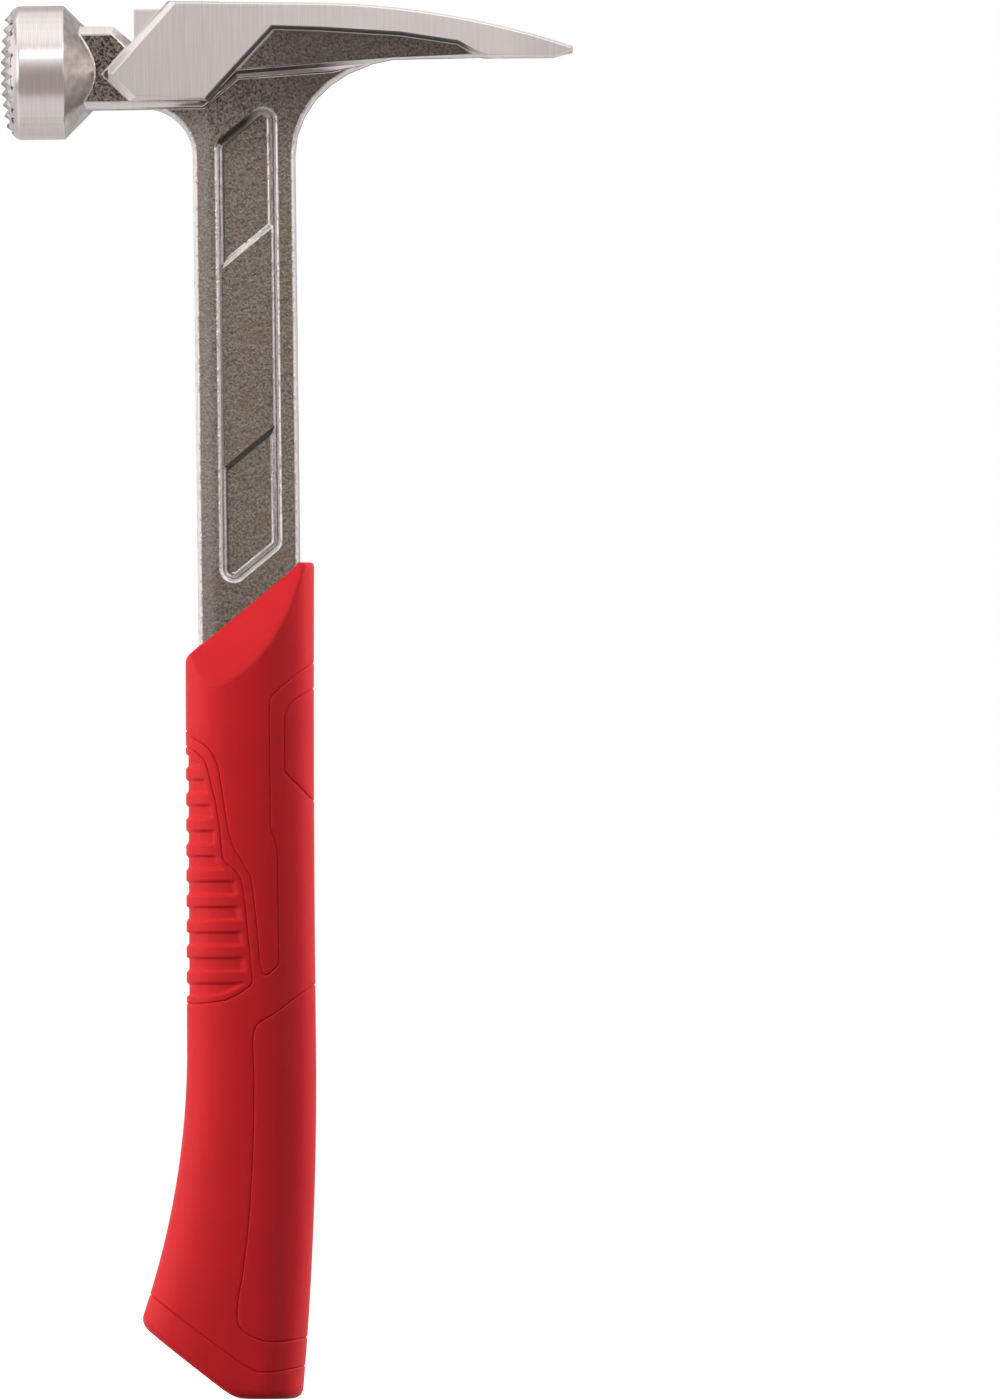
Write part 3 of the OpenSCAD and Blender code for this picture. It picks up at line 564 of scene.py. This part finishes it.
def grip_parts(g):
    """The grip's shape, worked out once for all its pieces."""
    if not GRIP:
        GRIP["shape"] = grip_shape(g)
    return GRIP["shape"]


def both_halves(verts, faces):
    """The near half and its mirror image across Y, with the mirrored faces turned to point outwards."""
    n = len(verts)
    faces = [list(f) for f in faces] + [[i + n for i in f[::-1]] for f in faces]
    return np.concatenate([verts, verts * [1, -1, 1]]), faces


def finished_mesh(name, verts, faces):
    """A smooth mesh from points in millimetres from the shaft's middle, with coincident points merged."""
    mesh = bpy.data.meshes.new(name)
    mesh.from_pydata(((verts + [SHAFT_X, 0, 0]) * MM).tolist(), [], faces)
    bm = bmesh.new()
    bm.from_mesh(mesh)
    bmesh.ops.remove_doubles(bm, verts=bm.verts, dist=MERGE)
    bm.to_mesh(mesh)
    bm.free()
    mesh.shade_smooth()
    return mesh


def placed(name, mesh, material, node):
    """An object at the origin that rides on the hammer and stands for a node of the part."""
    piece = bpy.data.objects.new(name, mesh)
    bpy.context.scene.collection.objects.link(piece)
    mesh.materials.clear()
    mesh.materials.append(material)
    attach(piece, "root")
    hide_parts(node)
    return piece


def moulded_piece(name, node, material):
    """One moulded piece of the grip: its part of the skin, any end surface, and a wall inwards."""
    g = in_millimetres(bpy.context.scene.hammer_grip)
    verts, tris, names, caps = grip_parts(g)
    own = tris[names == node]
    if len(own) == 0:
        raise RuntimeError(f"no face of the grip lies on {node}")
    used, faces = np.unique(own, return_inverse=True)
    verts, faces = both_halves(verts[used], faces.reshape(own.shape))
    if node in caps:
        more, quads = both_halves(*caps[node])
        faces += [[i + len(verts) for i in f] for f in quads]
        verts = np.concatenate([verts, more])
    piece = placed(name, finished_mesh(name, verts, faces), material, node)
    wall = piece.modifiers.new("Wall", "SOLIDIFY")
    wall.thickness = g.skin_t * MM
    wall.offset = -1
    wall.use_even_offset = False
    return piece


# -------- materials


def add(tree, kind, inputs=None, **settings):
    """A node with its settings. An input takes a value, or the output socket that feeds it."""
    node = tree.nodes.new(kind)
    for key, value in settings.items():
        setattr(node, key, value)
    for key, value in (inputs or {}).items():
        if isinstance(value, bpy.types.NodeSocket):
            tree.links.new(value, node.inputs[key])
        else:
            node.inputs[key].default_value = value
    return node


def new_material(name):
    """A material with an empty node tree, and the tree."""
    material = bpy.data.materials.new(name)
    material.use_nodes = True
    material.node_tree.nodes.clear()
    return material, material.node_tree


def forged_steel(name, wear_and_highlight):
    """Drop-forged carbon steel, clear coated: dark warm grains of forge scale in the fields that the die
    left, ground bright cheeks with upright brushing, and a turned poll, with painted shade and painted
    highlights on its walls. The second kind is for the softened edges: rubbed bright by grinding and
    tumbling on the convex ones, with a painted highlight on the concave ones."""
    steel = in_millimetres(bpy.context.scene.hammer_steel)
    colours = bpy.context.scene.hammer_colours
    material, t = new_material(name)
    place = add(t, "ShaderNodeTexCoord").outputs["Object"]
    turn = add(t, "ShaderNodeMapping", {"Vector": place, "Rotation": (0.6, 0.4, 0.3)}).outputs[0]
    at = add(t, "ShaderNodeSeparateXYZ", {0: place}).outputs
    normal = add(t, "ShaderNodeNewGeometry").outputs["True Normal"]
    facing = add(t, "ShaderNodeSeparateXYZ", {0: normal}).outputs

    def maths(operation, *values):
        return add(t, "ShaderNodeMath", dict(enumerate(values)), operation=operation).outputs[0]

    def product(value, *others):
        for other in others:
            value = maths("MULTIPLY", value, other)
        return value

    def largest(value, *others):
        for other in others:
            value = maths("MAXIMUM", value, other)
        return value

    def apart(value, middle):
        """Distance of a coordinate from a place in millimetres."""
        return maths("ABSOLUTE", maths("SUBTRACT", value, middle * MM))

    def ramp(value, start, end, low=0.0, high=1.0):
        return add(t, "ShaderNodeMapRange", {
            "Value": value, "From Min": start, "From Max": end, "To Min": low, "To Max": high}).outputs[0]

    # Ramps in millimetres: along X from the shaft's middle, off the middle plane, and up the hammer
    def along(start, end, low=0.0, high=1.0):
        return ramp(at["X"], (SHAFT_X + start) * MM, (SHAFT_X + end) * MM, low, high)

    def off(start, end, low=0.0, high=1.0):
        return ramp(off_middle, start * MM, end * MM, low, high)

    def up(start, end, low=0.0, high=1.0):
        return ramp(at["Z"], start * MM, end * MM, low, high)

    # Tests, 0 or 1: nearer the claws or nearer the face than x, and lower than z
    def behind(x):
        return maths("GREATER_THAN", at["X"], (SHAFT_X + x) * MM)

    def before(x):
        return maths("LESS_THAN", at["X"], (SHAFT_X + x) * MM)

    def below(z):
        return maths("LESS_THAN", at["Z"], z * MM)

    def noise(size, detail, rough=0.5, vector=turn):
        return add(t, "ShaderNodeTexNoise", {
            "Vector": vector, "Scale": 1 / size, "Detail": detail, "Roughness": rough}).outputs["Fac"]

    def mix(factor, low, high):
        low, high = (linear(colour) if isinstance(colour, str) else colour for colour in (low, high))
        return add(t, "ShaderNodeMix", {"Factor": factor, 6: low, 7: high}, data_type="RGBA").outputs[2]

    def blend(factor, low, high):
        return add(t, "ShaderNodeMix", {"Factor": factor, 2: low, 3: high}).outputs[0]

    # Ground surfaces: beyond the body's thickness, above the neck, and all of the poll with its cone
    off_middle = maths("ABSOLUTE", at["Y"])
    cheek = maths("GREATER_THAN", off_middle, steel.ground_y * MM)
    crown = product(maths("GREATER_THAN", at["Z"], steel.neck_top * MM),
                    largest(before(-18), maths("GREATER_THAN", facing["Z"], 0.6)))
    poll = maths("LESS_THAN", at["X"], steel.poll_rear * MM)
    cone = product(maths("GREATER_THAN", facing["X"], 0.3),
                   maths("LESS_THAN", at["X"], (steel.poll_rear + 11) * MM))
    turned = largest(poll, cone)
    ground = largest(cheek, crown, turned)

    # Slanting walls come cleaner from the die, and those round the neck are polished. Slopes that look
    # up, slopes that look towards the claws and bands below the body's level that look down get a painted
    # highlight
    slope = product(ramp(maths("ABSOLUTE", facing["Y"]), 0.97, 0.9), off(3, 4))
    neck = largest(along(-9, -17, 0.55, 0.9), ramp(facing["Z"], 0.25, 0.4, 0, 0.85),
                   product(ramp(facing["X"], 0.3, 0.5, 0, 0.8), off(5, 6)), along(10, 38, 0.55, 1.0),
                   product(ramp(facing["Z"], -0.2, -0.3), off(LEDGE_Y + 0.1, LEDGE_Y + 0.4),
                           off(BODY_Y - 1.1, BODY_Y - 1.4)))
    bright = largest(ground, product(slope, neck))
    # Softened edges: bright wear on the convex ones and a painted highlight on the concave ones
    if wear_and_highlight:
        bright = largest(bright, ramp(noise(3 * MM, 2.0), 0.3, 0.5, 0.5, 0.95))

    # Painted shade in the recess: at the foot of its walls and of the pad's, on sills, and high on
    # the walls that look down, less at the rounded corner and more at the pad's lower step
    clean = largest(slope, 1.0 if wear_and_highlight else 0.0)
    pocket = product(maths("LESS_THAN", apart(at["X"], SHAFT_X), 10.4 * MM), up(357, 355),
                     maths("LESS_THAN", off_middle, (SHAFT_Y + 0.05) * MM))
    pad = maths("LESS_THAN", apart(at["Z"], 281.6), 27.5 * MM)
    foot = largest(off(FLOOR_Y + 0.75, FLOOR_Y + 0.45), product(pad, off(PAD_Y + 0.4, PAD_Y + 0.15)))
    waist = ramp(apart(off_middle, PAD_Y + 0.68), 0.3 * MM, 0.1 * MM, 0, 0.6)
    sill = product(ramp(facing["Z"], 0.25, 0.4, 0, 0.35),
                   maths("LESS_THAN", off_middle, (PAD_Y + 0.15) * MM))
    feet = product(pocket, largest(product(foot, ramp(facing["X"], -0.3, 0.1)), waist, sill))
    tilt = (-0.05, -0.15) if wear_and_highlight else (-0.28, -0.42)
    over = product(pocket, clean, ramp(facing["Z"], *tilt),
                   largest(off(PAD_Y - 0.25, PAD_Y + 0.75, 0.85, 1.12), product(below(300), 1.08)),
                   largest(along(0.5, 5.5, 1, 0.35), below(330)))

    # More painted shade at the cheek's front corner, and in lines under the claw band, its ledge and the
    # cheek
    corner = product(along(-36.3, -36.8), ramp(apart(at["Z"], 361.0), 1.8 * MM, 1.1 * MM), behind(-39))
    painted_shade = largest(over, product(largest(feet, corner), slope))
    rear = product(largest(behind(-6), product(behind(-13), ramp(facing["X"], 0.1, 0.2))), clean,
                   ramp(facing["Z"], -0.12, -0.24))
    ledge, band = along(20, 36, 1, 0), along(60, 67, 1, 0)
    for start, end, share in (
            (LEDGE_Y - 0.06, LEDGE_Y + 0.2, ledge), (BODY_Y - 1.2, BODY_Y - 0.3, ledge),
            (BODY_Y - 0.06, BODY_Y + 0.08, band), (BODY_Y + 0.6, CHEEK_Y + 0.2, band)):
        painted_shade = largest(painted_shade, product(off(start - 0.1, start), off(end + 0.2, end), rear, share))
    for level in (LEDGE_Y, BODY_Y):
        strip = product(maths("GREATER_THAN", off_middle, (level - 0.06) * MM), off(level + 0.9, level + 0.3))
        painted_shade = largest(painted_shade, product(strip, slope, before(-6), along(-30, -17)))
    painted_shade = product(painted_shade, 0.85)
    bright = product(bright, maths("SUBTRACT", 1.0, painted_shade))

    # Forge scale: grains of 0.7 mm with brown tints in patches of 6 mm, pale along the shaft's front, and
    # coarser, darker grains high up under the head
    grain = noise(0.72 * MM, 5.0, 0.62)
    scale = mix(ramp(grain, 0.34, 0.66), colours.scale_grey, colours.scale_pale)
    scale = mix(ramp(noise(6 * MM, 3.0), 0.52, 0.8, 0, 0.7), scale, colours.scale_brown)
    # Darker towards the grip, below 238 mm
    scale = mix(up(238, 216, 0, 0.2), scale, colours.scale_dark_and_painted_shade)
    grain_under_head = mix(ramp(grain, 0.38, 0.62), "#241D19", "#92887F")
    grain_under_head = mix(along(-17, 14, 0, 0.7), grain_under_head, "#5A514A")
    front = product(along(-8.5, -10.5, 0, 0.26), up(354, 344))
    scale = mix(front, mix(up(335, 356), scale, grain_under_head), "#BAB1AD")
    # The painted shade darkens the scale
    scale = mix(painted_shade, scale, colours.scale_dark_and_painted_shade)

    # Grinding lines 0.16 mm wide and 14 mm long, upright on the cheeks and round the poll. A painted
    # highlight lightens the claws and the ground faces that look towards the face, painted shade darkens the
    # poll's top and bottom, and the bevel of its face and the teeth are duller
    brushed = noise(1.0, 3.0, 0.6, add(t, "ShaderNodeMapping", {
        "Vector": place, "Scale": (1 / (0.16 * MM), 1 / (9 * MM), 1 / (14 * MM))}).outputs[0])
    metal = mix(ramp(brushed, 0.3, 0.7), colours.ground_grey, colours.ground_pale)
    claws = largest(product(along(-10, 40, 0, 0.35), along(72, 82, 1, 0)),
                    product(ramp(facing["X"], -0.15, -0.35, 0, 0.6), cheek))
    for share, tint in (
            (product(cone, ramp(noise(3 * MM, 3.0), 0.35, 0.65, 0.75, 0.45)), "#81766C"), (claws, "#F6F2F1"),
            (product(poll, ramp(maths("ABSOLUTE", facing["Z"]), 0.6, 0.95, 0, 0.4)), "#9A908A"),
            (along(-61.2, -61.6), "#C9C2C0"), (along(-63.2, -65.2), "#98918F")):
        metal = mix(share, metal, tint)

    rough = blend(clean, ramp(grain, 0.2, 1.2, 0.4, 0.6), 0.3)
    rough = blend(ground, rough, ramp(turned, 0, 1, 0.47, 0.27))
    rind = product(maths("MULTIPLY_ADD", noise(2.2 * MM, 2.0), 1.2, grain), along(0, 20, 1.0, 0.55))
    bump = add(t, "ShaderNodeBump", {
        "Height": product(maths("SUBTRACT", 1.0, bright), rind), "Distance": 0.45 * MM}).outputs[0]
    bump = add(t, "ShaderNodeBump", {
        "Height": product(ground, brushed), "Distance": 0.006 * MM, "Normal": bump}).outputs[0]
    shader = add(t, "ShaderNodeBsdfPrincipled", {
        "Base Color": mix(bright, scale, metal), "Metallic": 1.0, "Roughness": rough,
        "Normal": bump}).outputs[0]
    add(t, "ShaderNodeOutputMaterial", {"Surface": shader})
    return material


def nickel_plate():
    """Nickel plating on a sintered magnet: bright, slightly yellow, with a fine satin break-up."""
    material, t = new_material("nickel_plate")
    place = add(t, "ShaderNodeTexCoord").outputs["Object"]
    haze = add(t, "ShaderNodeTexNoise", {
        "Vector": place, "Scale": 1 / (0.5 * MM), "Detail": 3.0}).outputs["Fac"]
    rough = add(t, "ShaderNodeMapRange", {"Value": haze, "To Min": 0.16, "To Max": 0.3}).outputs[0]
    colours = bpy.context.scene.hammer_colours
    shader = add(t, "ShaderNodeBsdfPrincipled", {
        "Base Color": colours.nickel, "Metallic": 1.0, "Roughness": rough}).outputs[0]
    add(t, "ShaderNodeOutputMaterial", {"Surface": shader})
    return material


def hard_nylon():
    """Black glass-filled nylon of the inner core: matt, with a faint moulded grain."""
    material, t = new_material("black_nylon")
    place = add(t, "ShaderNodeTexCoord").outputs["Object"]
    grain = add(t, "ShaderNodeTexNoise", {"Vector": place, "Scale": 1 / (0.6 * MM)}).outputs["Fac"]
    bump = add(t, "ShaderNodeBump", {"Height": grain, "Distance": 0.02 * MM}).outputs[0]
    colours = bpy.context.scene.hammer_colours
    shader = add(t, "ShaderNodeBsdfPrincipled", {
        "Base Color": colours.nylon, "Roughness": 0.6, "Normal": bump}).outputs[0]
    add(t, "ShaderNodeOutputMaterial", {"Surface": shader})
    return material


def moulded_rubber(name, colour, deep, roughness):
    """Red thermoplastic elastomer, injection moulded with a fine spark-eroded texture: a soft satin skin
    with a faint cloud of tone and a grain of a quarter of a millimetre."""
    material, t = new_material(name)
    place = add(t, "ShaderNodeTexCoord").outputs["Object"]
    cloud = add(t, "ShaderNodeTexNoise", {
        "Vector": place, "Scale": 1 / (14 * MM), "Detail": 2.0}).outputs["Fac"]
    tone = add(t, "ShaderNodeMapRange", {"Value": cloud, "From Min": 0.3, "From Max": 0.7}).outputs[0]
    red = add(t, "ShaderNodeMix", {"Factor": tone, 6: deep, 7: colour}, data_type="RGBA").outputs[2]
    grain = add(t, "ShaderNodeTexNoise", {
        "Vector": place, "Scale": 1 / (0.28 * MM), "Detail": 2.0, "Roughness": 0.5}).outputs["Fac"]
    rough = add(t, "ShaderNodeMapRange", {"Value": grain, "To Min": roughness - 0.05,
                                          "To Max": roughness + 0.07}).outputs[0]
    bump = add(t, "ShaderNodeBump", {"Height": grain, "Distance": 0.012 * MM, "Strength": 0.7}).outputs[0]
    shader = add(t, "ShaderNodeBsdfPrincipled", {
        "Base Color": red, "Roughness": rough, "IOR": 1.4, "Specular Tint": linear("#FFC4C4"),
        "Normal": bump}).outputs[0]
    add(t, "ShaderNodeOutputMaterial", {"Surface": shader})
    return material


def studio_white(name, strength):
    """Pale matt card for the floor: lifted to white for the camera, with the shadow still showing on it."""
    material, t = new_material(name)
    path = add(t, "ShaderNodeLightPath").outputs
    place = add(t, "ShaderNodeTexCoord").outputs["Object"]
    away = add(t, "ShaderNodeVectorMath", {0: place}, operation="LENGTH").outputs["Value"]
    lift = add(t, "ShaderNodeMapRange", {
        "Value": away, "From Min": 0.3, "From Max": 2.0, "To Min": strength - 0.25,
        "To Max": strength}).outputs[0]
    lift = add(t, "ShaderNodeMath", {0: path["Is Camera Ray"], 1: lift}, operation="MULTIPLY").outputs[0]
    lift = add(t, "ShaderNodeMath", {
        0: path["Is Glossy Ray"], 1: 0.7, 2: lift}, operation="MULTIPLY_ADD").outputs[0]
    tones = {"Factor": path["Is Camera Ray"], 6: linear("#6C6C6C"), 7: linear("#EDEDED")}
    tone = add(t, "ShaderNodeMix", tones, data_type="RGBA").outputs[2]
    card = add(t, "ShaderNodeBsdfDiffuse", {"Color": tone}).outputs[0]
    glow = add(t, "ShaderNodeEmission", {"Color": (1, 1, 1, 1), "Strength": lift}).outputs[0]
    both = add(t, "ShaderNodeAddShader", {0: card, 1: glow}).outputs[0]
    add(t, "ShaderNodeOutputMaterial", {"Surface": both})
    return material


# -------- operators


class HAMMER_OT_forging(bpy.types.Operator):
    """Head, shaft and tang: a merged copy of the forging with softened edges"""

    bl_idname = "hammer.forging"
    bl_label = "Forged head and shaft"

    def execute(self, context):
        steel = in_millimetres(context.scene.hammer_steel)
        mesh = bpy.data.meshes.new("forged_steel")
        bm = bmesh.new()
        bm.from_mesh(frame["nodes"]["forging"].data)
        bmesh.ops.remove_doubles(bm, verts=bm.verts, dist=2 * MERGE)
        bmesh.ops.dissolve_limit(bm, angle_limit=FLAT, verts=bm.verts, edges=bm.edges)
        for x, z, low, high, dx, dz in CORNER_SHIFTS:
            corner = [v for v in bm.verts if abs(v.co.x / MM - SHAFT_X - x) < CORNER_REACH
                      and abs(v.co.z / MM - z) < CORNER_REACH and low < abs(v.co.y / MM) < high]
            if len(corner) < 2:
                raise RuntimeError(f"no corner of the forging at {x}, {z}")
            bmesh.ops.translate(bm, verts=corner, vec=(dx * MM, 0, dz * MM))
        # The recess's inner folds that look down or back, and the folds in its floor, stay sharp
        soft = bm.edges.layers.float.new("bevel_weight_edge")
        for e in bm.edges:
            sharp = len(e.link_faces) == 2 and e.calc_face_angle() > SHARP
            level = abs(e.verts[0].co.y + e.verts[1].co.y) / 2 / MM
            down = any(f.normal.z < -0.3 for f in e.link_faces)
            back = any(f.normal.x > 0.3 for f in e.link_faces)
            fold = not e.is_convex and (down or back) and level < SHAFT_Y - 0.05
            fold = sharp and (fold or (down and level < PAD_Y + 0.15))
            e[soft] = 1.0 if sharp and not fold else 0.0
            e.smooth = not fold
        bm.to_mesh(mesh)
        bm.free()
        mesh.shade_smooth()
        coated = forged_steel("forged_steel_clear_coated", False)
        piece = placed("forged_head_and_shaft", mesh, coated, "forging")
        mesh.materials.append(forged_steel("forged_steel_rubbed_and_highlit_edge", True))
        edge = piece.modifiers.new("Softened edges", "BEVEL")
        edge.width = steel.edge_round * MM
        edge.segments = 2
        edge.limit_method = "WEIGHT"
        edge.use_clamp_overlap = False
        edge.material = 1
        piece.modifiers.new("Merged corners", "WELD").merge_threshold = MERGE
        flat = piece.modifiers.new("Flat faces", "WEIGHTED_NORMAL")
        flat.weight = 80
        return {"FINISHED"}


class HAMMER_OT_magnet(bpy.types.Operator):
    """Plating of the magnet in the nail starter"""

    bl_idname = "hammer.magnet"
    bl_label = "Nail magnet"

    def execute(self, context):
        mesh = frame["nodes"]["nail_magnet"].data
        mesh.materials.clear()
        mesh.materials.append(nickel_plate())
        return {"FINISHED"}


class HAMMER_OT_core(bpy.types.Operator):
    """Hard core inside the grip"""

    bl_idname = "hammer.core"
    bl_label = "Grip core"

    def execute(self, context):
        mesh = frame["nodes"]["grip_core"].data
        mesh.materials.clear()
        mesh.materials.append(hard_nylon())
        return {"FINISHED"}


class HAMMER_OT_shell(bpy.types.Operator):
    """Collar and butt cap, the two ends of the moulded grip"""

    bl_idname = "hammer.shell"
    bl_label = "Grip collar and butt cap"

    def execute(self, context):
        colours = context.scene.hammer_colours
        rubber = moulded_rubber("red_elastomer_shell", colours.rubber, colours.rubber_deep, 0.52)
        moulded_piece("collar", "grip_collar", rubber)
        moulded_piece("butt", "butt_cap", rubber)
        return {"FINISHED"}


class HAMMER_OT_sleeve(bpy.types.Operator):
    """Sleeve that shows between the panels"""

    bl_idname = "hammer.sleeve"
    bl_label = "Grip sleeve"

    def execute(self, context):
        colours = context.scene.hammer_colours
        rubber = moulded_rubber("red_elastomer_sleeve", colours.rubber, colours.rubber_deep, 0.52)
        moulded_piece("sleeve", "grip_sleeve", rubber)
        return {"FINISHED"}


class HAMMER_OT_panels(bpy.types.Operator):
    """Soft panels under fingers, thumb and palm"""

    bl_idname = "hammer.panels"
    bl_label = "Grip panels"

    def execute(self, context):
        colours = context.scene.hammer_colours
        rubber = moulded_rubber("red_elastomer_panel", colours.rubber, colours.panel_deep, 0.54)
        for part in ("finger", "thumb", "palm"):
            moulded_piece(part + "_panel", part + "_pad", rubber)
        return {"FINISHED"}


class HAMMER_OT_studio(bpy.types.Operator):
    """Pale floor, soft lamps and the camera at the photograph's place"""

    bl_idname = "hammer.studio"
    bl_label = "Studio"

    def sheet(self, name, corners, material):
        mesh = bpy.data.meshes.new(name)
        mesh.from_pydata(corners, [], [tuple(range(len(corners)))])
        mesh.materials.append(material)
        sheet = bpy.data.objects.new(name, mesh)
        bpy.context.scene.collection.objects.link(sheet)
        return sheet

    def lamp(self, name, place, target, width, height, power):
        data = bpy.data.lights.new(name, "AREA")
        data.shape, data.size, data.size_y, data.energy = "RECTANGLE", width, height, power
        lamp = bpy.data.objects.new(name, data)
        bpy.context.scene.collection.objects.link(lamp)
        lamp.location = place
        lamp.rotation_euler = (Vector(target) - Vector(place)).to_track_quat("-Z", "Y").to_euler()
        return lamp

    def execute(self, context):
        scene = context.scene
        white = studio_white("pale_floor", 1.0)
        self.sheet("floor", [(-20, -12, 0), (20, -12, 0), (20, 20, 0), (-20, 20, 0)], white)

        world = bpy.data.worlds.new("studio")
        world.use_nodes = True
        t = world.node_tree
        t.nodes.clear()
        path = add(t, "ShaderNodeLightPath").outputs
        shown = add(t, "ShaderNodeMapRange", {
            "Value": path["Is Glossy Ray"], "To Min": 0.06, "To Max": 0.74}).outputs[0]
        shown = add(t, "ShaderNodeMath", {0: shown, 1: path["Is Camera Ray"]}, operation="MAXIMUM").outputs[0]
        sky = add(t, "ShaderNodeBackground", {"Color": (1, 1, 1, 1), "Strength": shown}).outputs[0]
        add(t, "ShaderNodeOutputWorld", {"Surface": sky})
        scene.world = world

        # Cards seen only in reflections: grey ones before the hammer, and white ones on both sides of it
        surfaces = []
        for name, tint, strength in (("grey_card", "#B0A7A4", 1.0), ("white_card", "#FFFCFA", 1.45)):
            surface, d = new_material(name)
            glow = add(d, "ShaderNodeEmission", {"Color": linear(tint), "Strength": strength}).outputs[0]
            add(d, "ShaderNodeOutputMaterial", {"Surface": glow})
            surfaces.append(surface)
        grey, pale = surfaces

        def upright(x, y0, y1, z0, z1):
            return [(x, y0, z0), (x, y1, z0), (x, y1, z1), (x, y0, z1)]

        for name, surface, corners in (
                ("grey_card_low", grey,
                 [(-3, -3, 0.002), (3, -3, 0.002), (3, -0.42, 0.002), (-3, -0.42, 0.002)]),
                ("grey_card_high", grey, [(-3, -3, 0), (-3, -3, 0.8), (3, -3, 0.8), (3, -3, 0)]),
                ("white_card_right", pale, upright(1.3, -2.1, 0.1, 0.25, 1.8)),
                ("white_card_left", pale, upright(-1.4, -2.9, 1.2, 0, 1.4))):
            card = self.sheet(name, corners, surface)
            card.visible_camera = card.visible_diffuse = False
            card.visible_shadow = card.visible_transmission = False

        # Lamps: place, target, width, height, power in watts, and whether reflections show them
        for name, place, target, width, height, power, shows in (
                ("key", (-1.46, -0.42, 0.45), (0, 0, 0.19), 1.2, 1.5, 31, False),
                ("fill", (0.12, -0.35, 0.5), (0, 0, 0.22), 0.3, 0.15, 0.42, False),
                ("top", (0.0, -0.05, 1.4), (0, -0.05, 0.3), 1.7, 1.7, 5.0, True),
                ("front", (0.2, -0.42, 0.68), (0, 0, 0.28), 1.0, 0.14, 0.8, True),
                ("rim", (0.85, 0.4, 0.55), (0, 0, 0.19), 0.4, 1.0, 12.5, False)):
            self.lamp(name, place, target, width, height, power).visible_glossy = shows

        data = bpy.data.cameras.new("photograph")
        camera = bpy.data.objects.new("photograph", data)
        scene.collection.objects.link(camera)
        data.sensor_width = SENSOR
        data.lens = SENSOR * CAMERA_AWAY / (PHOTO_HEIGHT * MM_PER_PIXEL * MM)
        data.clip_start, data.clip_end = 0.5, 60
        right = Vector((math.cos(PHOTO_LEAN), 0, -math.sin(PHOTO_LEAN)))
        up = Vector((math.sin(PHOTO_LEAN), 0, math.cos(PHOTO_LEAN)))
        turn = Matrix((right, up, right.cross(up))).transposed().to_4x4()
        place = ((PHOTO_X + SHAFT_X) * MM, -CAMERA_AWAY, PHOTO_Z * MM)
        camera.matrix_world = Matrix.Translation(place) @ turn
        scene.camera = camera
        scene.view_settings.view_transform = "Standard"
        return {"FINISHED"}


class HAMMER_PT_panel(bpy.types.Panel):
    """Sizes and pieces of the hammer"""

    bl_label = "Framing hammer"
    bl_space_type = "VIEW_3D"
    bl_region_type = "UI"
    bl_category = "Hammer"

    def draw(self, context):
        scene = context.scene
        for group in (scene.hammer_grip, scene.hammer_steel, scene.hammer_colours):
            for name in group.bl_rna.properties.keys():
                if name not in ("rna_type", "name"):
                    self.layout.prop(group, name)
        for operator in OPERATORS:
            self.layout.operator(operator.bl_idname)


OPERATORS = (HAMMER_OT_forging, HAMMER_OT_magnet, HAMMER_OT_core, HAMMER_OT_shell, HAMMER_OT_sleeve,
             HAMMER_OT_panels, HAMMER_OT_studio)
CLASSES = (HammerGripSizes, HammerSteelSizes, HammerColours, *OPERATORS, HAMMER_PT_panel)


def register():
    for cls in CLASSES:
        bpy.utils.register_class(cls)
    bpy.types.Scene.hammer_grip = bpy.props.PointerProperty(type=HammerGripSizes)
    bpy.types.Scene.hammer_steel = bpy.props.PointerProperty(type=HammerSteelSizes)
    bpy.types.Scene.hammer_colours = bpy.props.PointerProperty(type=HammerColours)


def unregister():
    del bpy.types.Scene.hammer_colours
    del bpy.types.Scene.hammer_steel
    del bpy.types.Scene.hammer_grip
    for cls in reversed(CLASSES):
        bpy.utils.unregister_class(cls)


def main():
    """Makes every piece and the studio."""
    register()
    for operator in OPERATORS:
        group, name = operator.bl_idname.split(".")
        getattr(getattr(bpy.ops, group), name)()


if __name__ == "__main__":
    main()
